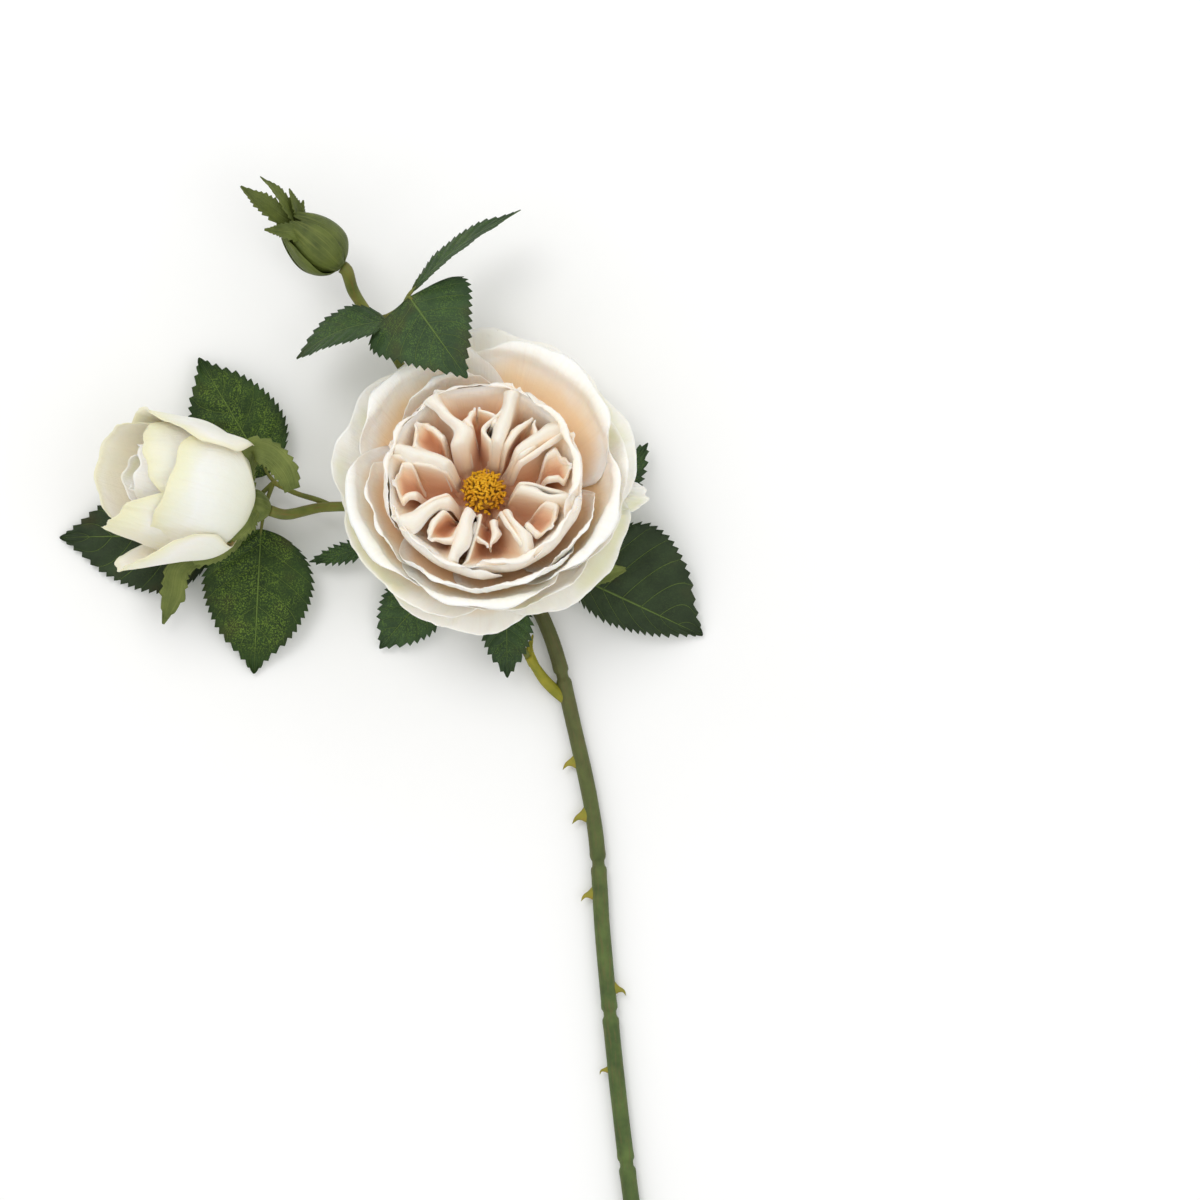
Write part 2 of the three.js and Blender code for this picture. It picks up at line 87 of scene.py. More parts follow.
# %% [markdown]
# ## Helpers for thin living sheets
# Petals, leaves and sepals are all thin sheets, so one helper makes them: it takes a grid of points down the
# middle of the sheet and gives it two faces and a rim. Marks are kept at every point: how far it is from base
# to tip (reach), from the middle to the edge (across), and which face it is on (inner). The finishes are
# painted by these marks, so the colour follows the petal wherever it bends.


# %% Smooth steps, curves and uneven waves
def smooth(x, start, end):
    t = np.clip((x - start) / (end - start), 0, 1)
    return t * t * (3 - 2 * t)


def through(points, t, fine=24):
    """A smooth curve through the points, read at shares t of its length."""
    p = np.array(points, float)
    p = np.vstack([2 * p[0] - p[1], p, 2 * p[-1] - p[-2]])
    knot = np.concatenate([[0], np.cumsum(np.linalg.norm(np.diff(p, axis=0), axis=1) ** 0.5)])
    dense = []
    for k in range(1, len(p) - 2):
        a, b, c, d = p[k - 1:k + 3]
        ka, kb, kc, kd = knot[k - 1:k + 3]
        x = np.linspace(kb, kc, fine)[:, None]
        ab = (kb - x) / (kb - ka) * a + (x - ka) / (kb - ka) * b
        bc = (kc - x) / (kc - kb) * b + (x - kb) / (kc - kb) * c
        cd = (kd - x) / (kd - kc) * c + (x - kc) / (kd - kc) * d
        abc = (kc - x) / (kc - ka) * ab + (x - ka) / (kc - ka) * bc
        bcd = (kd - x) / (kd - kb) * bc + (x - kb) / (kd - kb) * cd
        dense.append((kc - x) / (kc - kb) * abc + (x - kb) / (kc - kb) * bcd)
    dense = np.vstack(dense)
    length = np.concatenate([[0], np.cumsum(np.linalg.norm(np.diff(dense, axis=0), axis=1))])
    length /= length[-1]
    t = np.asarray(t, float)
    return np.stack([np.interp(t, length, column) for column in dense.T], -1)


def waves(rng, x, counts):
    """Uneven soft waves between about -1 and 1, like those on a petal's rim."""
    total = 0
    for count in counts:
        total = total + rng.uniform(0.5, 1) * np.sin(count * x + rng.uniform(0, 2 * math.pi))
    return total / len(counts)


def unit(v):
    return v / (np.linalg.norm(v, axis=-1, keepdims=True) + 1e-9)


print("halfway round a trial bend:", through([(0, 0), (10, 0), (10, 10)], [0.5]).round(1))


# %% A sheet with two faces and a rim
def grid(along, across):
    return np.meshgrid(np.linspace(0, 1, along + 1), np.linspace(-1, 1, across + 1), indexing="ij")


def sheet(middle, thickness, reach, across, tone=0.5):
    """Points, faces and marks of a closed thin sheet, which gets finer towards its rim."""
    normal = unit(np.cross(np.gradient(middle, axis=0), np.gradient(middle, axis=1)))
    edge = np.maximum(smooth(reach, 0.9, 1), smooth(np.abs(across), 0.86, 1))
    half = normal * (thickness * (1 - 0.6 * edge) / 2)[..., None]
    count = reach.size
    index = np.arange(count).reshape(reach.shape)
    front = np.stack([index[:-1, :-1], index[1:, :-1], index[1:, 1:], index[:-1, 1:]], -1).reshape(-1, 4)
    loop = np.concatenate([index[0, :-1], index[:-1, -1], index[-1, :0:-1], index[:0:-1, 0]])
    ahead = np.roll(loop, -1)
    wall = np.stack([loop, ahead, ahead + count, loop + count], -1)
    points = np.concatenate([(middle + half).reshape(-1, 3), (middle - half).reshape(-1, 3)])
    marks = {
        "reach": np.tile(reach.ravel(), 2),
        "across": np.tile(across.ravel(), 2),
        "inner": np.repeat([1.0, 0.0], count),
        "tone": np.tile(np.broadcast_to(tone, reach.shape).ravel(), 2),
    }
    return points, np.concatenate([front, front[:, ::-1] + count, wall]).tolist(), marks


s, w = grid(2, 2)
print("faces of the smallest sheet:", len(sheet(np.stack([s, w, 0 * s], -1), 0.1, s, w)[1]))


# %% Round pieces: tubes along a route and turned shapes
def ringed(rings, tone=0.5):
    """A closed round part from rings of points, one after the other."""
    steps, sides = rings.shape[:2]
    index = np.arange(steps * sides).reshape(steps, sides)
    beside = np.roll(index, -1, axis=1)
    walls = np.stack([index[:-1], beside[:-1], beside[1:], index[1:]], -1).reshape(-1, 4).tolist()
    faces = walls + [index[0][::-1].tolist(), index[-1].tolist()]
    reach, across = np.meshgrid(np.linspace(0, 1, steps), np.linspace(-1, 1, sides), indexing="ij")
    marks = {"reach": reach.ravel(), "across": across.ravel(), "inner": np.ones(steps * sides),
             "tone": np.full(steps * sides, tone)}
    return rings.reshape(-1, 3), faces, marks


def circle(sides):
    angle = np.arange(sides) * 2 * math.pi / sides
    return np.cos(angle), np.sin(angle)


def tube(route, radii, sides=14, tone=0.5):
    """A round tube along a route; the radii are read evenly from end to end."""
    route = np.asarray(route, float)
    share = np.linspace(0, 1, len(route))
    radius = np.interp(share, np.linspace(0, 1, len(radii)), radii)
    ahead = unit(np.gradient(route, axis=0))
    side = np.cross(ahead[0], (0.3, 0.2, 1))
    cos, sin = circle(sides)
    rings = []
    for k in range(len(route)):
        side = unit(side - ahead[k] * side.dot(ahead[k]))
        up = np.cross(ahead[k], side)
        rings.append(route[k] + radius[k] * (np.outer(cos, side) + np.outer(sin, up)))
    return ringed(np.array(rings), tone)


def turned(profile, sides=32, steps=24):
    """A shape turned round +Z from a profile of (radius, height) points."""
    line = through(profile, np.linspace(0, 1, steps))
    cos, sin = circle(sides)
    rings = np.stack([np.outer(line[:, 0], cos), np.outer(line[:, 0], sin),
                      np.repeat(line[:, 1:], sides, axis=1)], -1)
    return ringed(rings)


print("faces of a trial knob:", len(turned([(0.05, -1), (1, 0), (0.05, 1)], 12, 8)[1]))


# %% Build one piece from its parts
def build(name, parts, place, finishes):
    """One piece from closed parts (points, faces, marks, finish number), for the node of the same name."""
    origin, turn = place
    points, faces, finish_of = [], [], []
    marks = {key: [] for key in ("reach", "across", "inner", "tone")}
    start = 0
    for part_points, part_faces, part_marks, finish in parts:
        points.append(part_points @ turn.T + origin + ZERO)
        faces += [[corner + start for corner in face] for face in part_faces]
        finish_of += [finish] * len(part_faces)
        for key in marks:
            marks[key].append(part_marks[key])
        start += len(part_points)
    mesh = bpy.data.meshes.new(name)
    mesh.from_pydata((np.concatenate(points) * MM).tolist(), [], faces)
    for key, values in marks.items():
        mark = mesh.attributes.new(key, "FLOAT", "POINT")
        mark.data.foreach_set("value", np.concatenate(values).astype(np.float32))
    for finish in finishes:
        mesh.materials.append(finish)
    mesh.polygons.foreach_set("material_index", finish_of)
    mesh.polygons.foreach_set("use_smooth", [True] * len(faces))
    mesh.update()
    piece = bpy.data.objects.new(name, mesh)
    bpy.context.scene.collection.objects.link(piece)
    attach(piece, "root")
    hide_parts(name)


print("helpers ready")

# %% [markdown]
# ## How a finish is painted
# A petal is not one colour: it is deep peach at its claw and nearly white at its rim, with fine long veins.
# Image files could carry that, but a petal needs no seam or unwrapping if its colour is worked out from its
# own marks. These small helpers lay down the nodes, so each finish below reads like a recipe.


# %% Node helpers
def tint(red, green, blue):
    """A colour given as it looks, 0 to 255, as linear light."""
    linear = [((c / 255 + 0.055) / 1.055) ** 2.4 if c > 10 else c / 3295 for c in (red, green, blue)]
    return (*linear, 1)


class Recipe:
    """The nodes of one finish."""

    def __init__(self, name, roughness):
        self.finish = bpy.data.materials.new(name)
        self.finish.use_nodes = True
        self.nodes = self.finish.node_tree.nodes
        self.links = self.finish.node_tree.links
        self.shader = self.nodes["Principled BSDF"]
        self.shader.inputs["Roughness"].default_value = roughness

    def node(self, kind, **settings):
        made = self.nodes.new(kind)
        for key, value in settings.items():
            setattr(made, key, value)
        return made

    def feed(self, value, socket):
        """Links another socket, or sets a number or a colour of three numbers."""
        if isinstance(value, bpy.types.NodeSocket):
            self.links.new(value, socket)
        else:
            socket.default_value = tint(*value) if isinstance(value, tuple) else value

    def mark(self, name):
        return self.node("ShaderNodeAttribute", attribute_name=name).outputs["Fac"]

    def where(self):
        return self.node("ShaderNodeTexCoord").outputs["Object"]

    def sum(self, operation, a, b=0.0):
        node = self.node("ShaderNodeMath", operation=operation)
        self.feed(a, node.inputs[0])
        self.feed(b, node.inputs[1])
        return node.outputs[0]

    def times(self, a, b):
        return self.sum("MULTIPLY", a, b)

    def step(self, value, start, end, low=0.0, high=1.0):
        node = self.node("ShaderNodeMapRange", interpolation_type="SMOOTHSTEP")
        keys = ("Value", "From Min", "From Max", "To Min", "To Max")
        for key, number in zip(keys, (value, start, end, low, high)):
            self.feed(number, node.inputs[key])
        return node.outputs["Result"]

    def grain(self, place, scale, detail=3.0, roughness=0.55):
        node = self.node("ShaderNodeTexNoise")
        self.feed(place, node.inputs["Vector"])
        for key, number in zip(("Scale", "Detail", "Roughness"), (scale, detail, roughness)):
            node.inputs[key].default_value = number
        return node.outputs["Fac"]

    def stretched(self, across, along):
        """A place on the sheet itself, so that a grain can run along it as veins do."""
        node = self.node("ShaderNodeCombineXYZ")
        self.links.new(self.times(self.mark("across"), across), node.inputs[0])
        self.links.new(self.times(self.mark("reach"), along), node.inputs[1])
        self.links.new(self.mark("tone"), node.inputs[2])
        return node.outputs[0]

    def ramp(self, value, stops):
        node = self.node("ShaderNodeValToRGB")
        colours = node.color_ramp.elements
        for k, (position, colour) in enumerate(stops):
            stop = colours[k] if k < 2 else colours.new(position)
            stop.position = position
            stop.color = tint(*colour)
        self.feed(value, node.inputs["Fac"])
        return node.outputs["Color"]

    def blend(self, share, a, b):
        node = self.node("ShaderNodeMix", data_type="RGBA")
        self.feed(share, node.inputs["Factor"])
        self.feed(a, node.inputs[6])
        self.feed(b, node.inputs[7])
        return node.outputs[2]

    def relief(self, height, depth, strength=0.5):
        node = self.node("ShaderNodeBump")
        node.inputs["Distance"].default_value = depth
        node.inputs["Strength"].default_value = strength
        self.feed(height, node.inputs["Height"])
        self.links.new(node.outputs["Normal"], self.shader.inputs["Normal"])

    def colour(self, value):
        self.feed(value, self.shader.inputs["Base Color"])


print("finish helpers ready")

# %% [markdown]
# ## Petal finish
# A garden rose's petal is a moist, very thin skin: light goes a little way in, so the peach glows near the
# claw, and long fine veins and small crinkles catch the light. The inner face is peach and fades to a milky
# rim. The back is cream with a yellow-green cast low down. One recipe serves every ring of petals.


# %% Petals of the open bloom, the rosette and the bud
def petal_finish(name, inside, outside, rim, glow, crinkle=0.7, green_share=0.4):
    paint = Recipe(name, 0.62)
    reach = paint.mark("reach")
    uneven = paint.grain(paint.where(), 70.0, 2.0)
    shifted = paint.sum("ADD", reach, paint.times(paint.sum("SUBTRACT", uneven, 0.5), 0.16))
    inner = paint.ramp(shifted, inside)
    back = paint.ramp(shifted, outside)
    skin = paint.blend(paint.mark("inner"), back, inner)
    veins = paint.grain(paint.stretched(34.0, 1.6), 1.0, 3.0)
    skin = paint.blend(paint.step(veins, 0.45, 0.8, 0.0, 0.07), skin, inside[0][1])
    green = paint.times(paint.step(paint.grain(paint.where(), 30.0, 1.0), 0.5, 0.62), paint.step(
        reach, 0.6, 0.95, 0.0, green_share))
    skin = paint.blend(green, skin, (236, 235, 196))
    edge = paint.sum("MAXIMUM", paint.step(reach, 0.93, 1.0), paint.step(
        paint.sum("ABSOLUTE", paint.mark("across")), 0.9, 1.0))
    skin = paint.blend(paint.times(edge, 0.7), skin, rim)
    paint.colour(skin)
    crepe = paint.grain(paint.where(), 420.0, 4.0, 0.6)
    height = paint.sum("ADD", paint.times(veins, 0.8), paint.times(crepe, crinkle))
    paint.relief(height, 0.0006, 0.5)
    paint.shader.inputs["Subsurface Weight"].default_value = glow
    paint.shader.inputs["Subsurface Radius"].default_value = (0.004, 0.0022, 0.0012)
    paint.shader.inputs["Subsurface Scale"].default_value = 1.0
    paint.shader.inputs["Sheen Weight"].default_value = 0.15
    paint.shader.inputs["Specular IOR Level"].default_value = 0.3
    return paint.finish


MILK = (253, 250, 241)
cream_petal = petal_finish(
    "cream_petal",
    [(0.0, (205, 150, 100)), (0.45, (236, 194, 150)), (0.66, (248, 228, 202)), (0.80, MILK)],
    [(0.0, (222, 220, 170)), (0.5, (244, 238, 216)), (0.8, MILK), (1.0, MILK)],
    (255, 252, 244), 0.25, 0.8, 0.75)
peach_petal = petal_finish(
    "peach_petal",
    [(0.0, (204, 138, 84)), (0.45, (238, 186, 136)), (0.68, (249, 216, 180)), (0.84, MILK)],
    [(0.0, (230, 216, 172)), (0.55, (246, 236, 216)), (0.85, MILK), (1.0, MILK)],
    (255, 253, 246), 0.25, 0.7, 0.15)
# Its dark peach end paints the floor of the folded petals' troughs: partly the petal's own colour, partly
# painted shade of the deep hollow.
rosette_petal = petal_finish(
    "rosette_petal",
    [(0.0, (198, 126, 90)), (0.24, (242, 192, 154)), (0.5, (254, 224, 192)), (0.8, (255, 242, 222))],
    [(0.0, (232, 182, 150)), (0.4, (252, 222, 196)), (0.8, (255, 236, 214)), (1.0, (255, 244, 228))],
    (255, 250, 240), 0.3, 0.6, 0.0)
bud_petal = petal_finish(
    "bud_petal",
    [(0.0, (236, 214, 172)), (0.5, (248, 234, 206)), (0.8, (253, 244, 224)), (1.0, MILK)],
    [(0.0, (214, 214, 150)), (0.3, (236, 234, 212)), (0.75, (243, 240, 230)), (1.0, (234, 230, 190))],
    (236, 230, 190), 0.2, 0.9, 0.3)
print("petal finishes:", [cream_petal.name, peach_petal.name, rosette_petal.name, bud_petal.name])

# %% [markdown]
# ## Leaf, sepal and bark finishes
# Rose leaves are leathery, dark above and paler below, with a sunk midrib, side veins that run to the teeth,
# and here a fine bright fleck. The flecks are a thresholded grain kept to the middle of the leaf. The sepals
# are softer and yellower. The bark is green with long streaks, browner near the bloom.


# %% Leaves
def leaf_finish(name, dark, bright, fleck, flecks):
    paint = Recipe(name, 0.6)
    where = paint.where()
    side = paint.sum("ABSOLUTE", paint.mark("across"))
    ladder = paint.sum("PINGPONG", paint.mark("tone"), 0.5)
    fade = paint.step(side, 0.75, 1.0, 1.0, 0.25)
    vein = paint.times(paint.step(ladder, 0.0, 0.035, 1.0, 0.0), fade)
    midrib = paint.step(side, 0.006, 0.03, 1.0, 0.0)
    green = paint.ramp(paint.grain(where, 95.0, 4.0), [(0.3, dark), (0.75, bright)])
    brown = paint.step(paint.grain(where, 48.0, 2.0), 0.52, 0.72, 0.0, 0.4)
    green = paint.blend(brown, green, (66, 46, 26))
    spots = paint.step(paint.grain(where, 1700.0, 2.0, 0.75), 0.5, 0.58)
    patch = paint.step(paint.grain(where, 130.0, 2.0), 0.32, 0.6, 0.2, 1.0)
    middle = paint.times(paint.step(side, 0.7, 0.98, 1.0, 0.0), paint.step(
        paint.mark("reach"), 0.72, 0.95, 1.0, 0.0))
    spots = paint.times(paint.times(spots, patch), paint.times(middle, flecks))
    green = paint.blend(spots, green, fleck)
    green = paint.blend(paint.times(paint.sum("MAXIMUM", vein, midrib), 0.5), green, (120, 144, 70))
    under = paint.ramp(paint.grain(where, 90.0, 3.0), [(0.3, (84, 104, 62)), (0.8, (112, 130, 82))])
    paint.colour(paint.blend(paint.mark("inner"), under, green))
    ribs = paint.sum("ADD", vein, paint.times(midrib, 1.6))
    swell = paint.times(paint.step(ladder, 0.0, 0.5), 0.6)
    fine = paint.times(paint.grain(where, 900.0, 3.0), 0.7)
    paint.relief(paint.sum("ADD", paint.sum("SUBTRACT", swell, ribs), fine), 0.0005, 0.7)
    paint.shader.inputs["Specular IOR Level"].default_value = 0.22
    return paint.finish


flecked_leaf = leaf_finish("flecked_leaf", (28, 46, 14), (46, 70, 24), (104, 130, 44), 0.75)
mossy_leaf = leaf_finish("mossy_leaf", (44, 62, 38), (58, 82, 46), (104, 136, 56), 0.4)
dark_leaf = leaf_finish("dark_leaf", (34, 46, 26), (50, 66, 38), (80, 100, 50), 0.15)
print("leaf finishes:", [flecked_leaf.name, mossy_leaf.name, dark_leaf.name])


# %% Sepals, bark, thorns, stamens
def green_skin(name, dark, bright, streak, across, along, aged=0.0):
    paint = Recipe(name, 0.58)
    where = paint.where()
    streaks = paint.grain(paint.stretched(across, along), 1.0, 4.0)
    skin = paint.ramp(paint.grain(where, 120.0, 4.0), [(0.3, dark), (0.72, bright)])
    skin = paint.blend(paint.step(streaks, 0.45, 0.75, 0.0, 0.55), skin, streak)
    paint.colour(paint.blend(paint.step(paint.mark("reach"), 0.15, 0.55, aged, 0.0), skin, (92, 78, 44)))
    height = paint.sum("ADD", streaks, paint.times(paint.grain(where, 700.0, 3.0), 0.5))
    paint.relief(height, 0.0005, 0.6)
    paint.shader.inputs["Specular IOR Level"].default_value = 0.35
    return paint.finish


sepal_skin = green_skin("sepal_skin", (78, 92, 36), (116, 128, 60), (140, 146, 78), 16.0, 2.0)
small_bud_skin = green_skin("small_bud_skin", (62, 74, 24), (96, 108, 42), (118, 124, 58), 12.0, 2.0)
bark = green_skin("bark", (58, 78, 32), (88, 108, 50), (100, 88, 50), 9.0, 60.0, 0.45)
young_bark = green_skin("young_bark", (84, 96, 38), (120, 124, 50), (126, 92, 50), 7.0, 14.0)
sheath_skin = green_skin("sheath_skin", (122, 122, 22), (158, 148, 40), (104, 112, 40), 6.0, 4.0)
thorn_skin = green_skin("thorn_skin", (112, 114, 34), (150, 142, 46), (164, 116, 44), 3.0, 2.0)
gold = green_skin("stamen_gold", (208, 144, 10), (250, 200, 36), (252, 216, 80), 3.0, 3.0)
filament_skin = green_skin("filament_skin", (176, 120, 40), (214, 168, 70), (150, 84, 30), 3.0, 3.0)
print("green and gold finishes ready")

# %% [markdown]
# ## The open bloom's outer petals
# They grow in rings of five, each petal a fifth of a turn from the next, one edge in front of its neighbour
# and the other tucked behind. A petal here is a patch of a cup turned round the bloom's axis: its profile
# runs from the claw on the hip to a rim that rolls outwards, and soft waves move it off the perfect cup.
# Every petal has its own reach, roll and waves, because no two real ones match.

# %% One petal of a ring
HIP_RADIUS = 9.4
PETAL_SKIN = 0.45


def claw(ring):
    return HIP_RADIUS - 0.8 - 1.2 * ring, 0.4 + 1.2 * ring


def rolled(points, roll):
    """A profile whose last point, the rim, rolls outwards over this many millimetres."""
    r, z = points[-1]
    return [*points, (r + 0.5 * roll, z + 0.22 * roll), (r + 0.95 * roll, z - 0.12 * roll)]


def ring_petal(seed, profile, azimuth, half_span, tuck=0.95, back_reach=0.1, rounding=0.16, ruffle=1.0,
               tone=0.5, notch=0.0, narrow=0.3, peel=0.0):
    """A petal round the axis; its azimuth and half its span are in degrees."""
    rng = np.random.default_rng(seed)
    s, w = grid(46, 44)
    rim = waves(rng, w * math.pi, (1.3, 2.6, 4.1))
    t = s * (1 - rounding * np.abs(w) ** 3 * s - notch * np.exp(-(w / 0.16) ** 2) * s ** 6
             - 0.035 * (rim + 1) * s ** 3)
    spot_on_profile = through(profile, t)
    ahead = unit(through(profile, np.minimum(t + 2e-3, 1)) - through(profile, np.maximum(t - 2e-3, 0)))
    soft = waves(rng, w * math.pi, (1.1, 2.3, 3.7)) * smooth(s, 0.35, 1)
    fine = waves(rng, w * math.pi + 2 * s, (7, 11, 16)) * smooth(s, 0.7, 1)
    offset = tuck * w * smooth(s, 0.08, 0.32) + ruffle * (0.9 * soft + 0.4 * fine)
    offset = offset + peel * smooth(-w, 0.45, 1.1) * smooth(s, 0.1, 0.5)
    span = math.radians(half_span) * (narrow + (1 - narrow) * smooth(s, 0.1, 0.6))
    angle = math.radians(azimuth) + w * span
    radius = (spot_on_profile[..., 0] + offset * ahead[..., 1]) * (1 + back_reach * t * np.sin(angle))
    height = spot_on_profile[..., 1] - offset * ahead[..., 0]
    middle = np.stack([radius * np.cos(angle), radius * np.sin(angle), height], -1)
    return sheet(middle, PETAL_SKIN, s, w, tone)


trial, _, _ = ring_petal(1, rolled([claw(0), (24, -6), (59, -3)], 2), 0, 46)
print("points of a trial petal:", len(trial))

# %% [markdown]
# ### Guard petals
# The two lowest rings open flat and a little downwards. They are the widest petals of the bloom and show only
# as a pale border around the cups, so their rims matter most: shallow points, dips and a slight roll. A small
# stray petal grows behind the fifth of the low ones.

# %% Low guard petals and guard petals
FIFTH = 72
low_guard_ways = [(4.5, 1.5), (0, 1.2), (-3, 2.0), (0.5, 1.5), (1, 1.6)]  # extra reach, roll
for k, (extra, roll) in enumerate(low_guard_ways):
    profile = rolled([claw(0), (18, -4.2), (34, -6.6), (48, -5.6), (57 + extra, -3.2)], roll)
    petal = ring_petal(10 + k, profile, 40 + k * FIFTH, 48, rounding=0.3, ruffle=2.0, tone=0.2 + 0.15 * k)
    parts = [(*petal, 0)]
    if k == 4:
        profile = rolled([claw(0), (18, -5), (34, -8.2), (48, -7.6), (62, -5.5)], 1.5)
        parts.append((*ring_petal(15, profile, 4, 8, tone=0.9), 0))
    build(f"low_guard_petal_{k + 1}", parts, BLOOM, [cream_petal])
guard_ways = [  # extra reach, roll, rim height
    (5, 3.2, 8), (2.5, 2.6, 10), (1.5, 3.0, 9), (-3, 2.6, 9), (-1, 3.0, 10),
]
for k, (extra, roll, rim_height) in enumerate(guard_ways):
    profile = rolled([claw(1), (18, -0.6), (34, -1.6), (46, 1.2), (55 + extra, rim_height)], roll)
    petal = ring_petal(20 + k, profile, 76 + k * FIFTH, 48, rounding=0.28, ruffle=1.9, tone=0.1 + 0.2 * k,
                       notch=0.03)
    build(f"guard_petal_{k + 1}", [(*petal, 0)], BLOOM, [cream_petal])
print("guard petals: 10")

# %% [markdown]
# ### Cup petals and the collar
# The cups stand up around the heart with a deep peach inside and a broad milky rim that rolls outwards. The
# collar is the tight ring that holds the rosette. Shorter inner petals stand between the two in the real
# bloom, so each collar piece carries a second, shorter petal that grew from the same claw.

# %% Cup petals
cup_ways = [  # azimuth, half span, rim radius, rim height, roll
    (55, 50, 50.5, 22, 6.5), (124, 46, 49.5, 20, 6.0), (200, 48, 50.0, 19, 6.0), (268, 50, 50.5, 19, 6.0),
    (342, 50, 49.0, 21, 6.5),
]
for k, (azimuth, half_span, rim, rim_height, roll) in enumerate(cup_ways):
    profile = rolled([claw(2), (18, 2.4), (32, 3.6), (42, 8.5), (rim - 2, 15), (rim, rim_height)], roll)
    petal = ring_petal(30 + k, profile, azimuth, half_span, ruffle=1.5, rounding=0.34, tone=0.15 * k)
    build(f"cup_petal_{k + 1}", [(*petal, 0)], BLOOM, [peach_petal])
print("cup petals: 5")

# %% Collar petals, each with a shorter petal behind it
collar_ways = [
    # azimuth, rim radius, rim height, roll, then the second petal's azimuth, half span, rim radius, height
    (90, 35.6, 33, 2.6, 112, 34, 42.5, 25), (162, 36.2, 31.5, 3.6, 196, 38, 44.5, 25),
    (234, 36.4, 31, 3.6, 250, 40, 44.5, 26), (306, 35.2, 32, 4.8, 292, 42, 44.5, 27),
    (18, 34.2, 33.5, 5.6, 330, 34, 43.5, 27),
]
for k, (azimuth, rim, rim_height, roll, *second) in enumerate(collar_ways):
    profile = rolled([claw(3), (14, 5), (25, 7), (33, 13), (37, 22), (37.5, 28), (rim, rim_height)], roll)
    front = ring_petal(40 + k, profile, azimuth, 47, back_reach=0, ruffle=1.3, tone=0.2 * k, notch=0.04)
    azimuth, half_span, rim, rim_height = second
    profile = rolled([claw(2.6), (16, 4.2), (30, 6), (39, 12), (rim - 1, 19), (rim, rim_height)], 3)
    behind = ring_petal(50 + k, profile, azimuth, half_span, tuck=0.6, back_reach=0.04, ruffle=1.3,
                        rounding=0.42, tone=0.6)
    build(f"collar_petal_{k + 1}", [(*front, 0), (*behind, 1)], BLOOM, [rosette_petal, peach_petal])
print("collar petals: 5")

# %% [markdown]
# ### The quartered rosette
# Inside the collar the petals are folded lengthwise like half-shut books, packed side by side around the
# stamens. Each is a trough: deep and pinkish inside, with two pale ruffled lips that lean on the neighbours.
# Its floor is painted a darker peach than its walls and lips, partly the petal's own colour and partly painted
# shade of the deep hollow.
# A smaller fold nests inside each. Leaning the lips to one side breaks the ring's regularity.


# %% Folded petals
SECTOR = math.tau / 8
HEART_FLOOR = [(3.8, 5.2), (8, 4.8), (13, 5.6), (19, 8.2), (26, 14), (31.5, 22), (34.4, 30.5)]


def folded_petal(seed, azimuth, width, rim, lip, lean, swing=0.0, pinch=0.0, lift=0.0, start=0.0, end=1.0,
                 ruffle=1.0, shingle=1.0, tone=0.5):
    rng = np.random.default_rng(seed)
    s, w = grid(64, 52)
    floor = through(HEART_FLOOR, start + (end - start) * s)
    r = floor[..., 0]
    z = floor[..., 1] + lift * smooth(s, 0, 0.3)
    half = (r * math.tan(SECTOR / 2) - 0.7) * 0.92 * width * (1 - pinch * np.exp(-((r - 18) / 4.5) ** 2))
    wall = np.minimum(np.abs(w) / 0.66, 1)
    curl = smooth(np.abs(w), 0.6, 1)
    top = rim - 4 * (1 - smooth(r, 9, 20)) - 1.2 * smooth(r, 27, 33)
    depth = np.maximum(top - z, 0) * smooth(r, 8.5, 14)
    if lift:
        half = half * (0.15 + 0.85 * smooth(s, 0, 0.3)) * (1 - 0.92 * smooth(s, 0.5, 1))
        depth = depth * smooth(s, 0, 0.3)
    risen = (1 - np.cos(wall * math.pi / 2)) * smooth(depth, 0, 4)
    lips = smooth(np.abs(w), 0.4, 1) * smooth(depth, 0, 6)
    wave = np.where(w > 0, waves(rng, s * math.pi, (1.3, 2.9, 4.3)), waves(rng, s * math.pi, (1.7, 3.1, 4.7)))
    frill = np.where(w > 0, waves(rng, s * math.pi, (9, 14)), waves(rng, s * math.pi, (8, 13)))
    over = lip * np.where(w > 0, 1.25, 1 - 0.55 * shingle) * (1 - 0.75 * smooth(s, 0.82, 1))
    spread = half * np.sin(wall * math.pi / 2) + curl * over * (1 + 0.4 * wave)
    side = np.sign(w) * spread + (lean * half + swing * np.sin(1.7 * s * math.pi)) * risen
    side = side + ruffle * lips * (1.3 * wave + 0.2 * frill * curl)
    bob = np.where(w > 0, waves(rng, s * math.pi, (2.3, 5.1)), waves(rng, s * math.pi, (3.3, 4.7)))
    roll = 0.55 * np.sin(curl * math.pi) - 0.4 * curl ** 2
    height = z + depth * risen / np.maximum(smooth(depth, 0, 4), 1e-6) + over * roll
    height = height + ruffle * lips * (1.1 * bob + 0.2 * frill * curl) + shingle * lips * np.sign(w) * 1.1
    r = r + smooth(s, 0.75, 1) * shingle * (0.6 * waves(rng, w * math.pi, (2, 4)) + 0.8)
    r = r + 0.8 * smooth(s, 0.93, 1)
    cos, sin = math.cos(azimuth), math.sin(azimuth)
    middle = np.stack([r * cos - side * sin, r * sin + side * cos, height], -1)
    # Partly painted shade: the finish's mark is low on the trough floor and in the heart's middle, so they get
    # the dark peach end, and high on the walls and lips, which get the milky end. The deep peach is partly the
    # petal's own colour and partly painted shade of the hollow.
    walls = np.maximum(wall ** 2.2 * smooth(r, 5, 15), smooth(s, 0.45, 0.95) ** 1.5)
    rims = np.maximum(curl * smooth(depth, 0, 6), smooth(s, 0.86, 0.98))
    points, faces, marks = sheet(middle, PETAL_SKIN, s, w, tone)
    marks["reach"] = np.tile((0.08 + 0.58 * walls + 0.34 * rims).ravel(), 2)
    return points, faces, marks


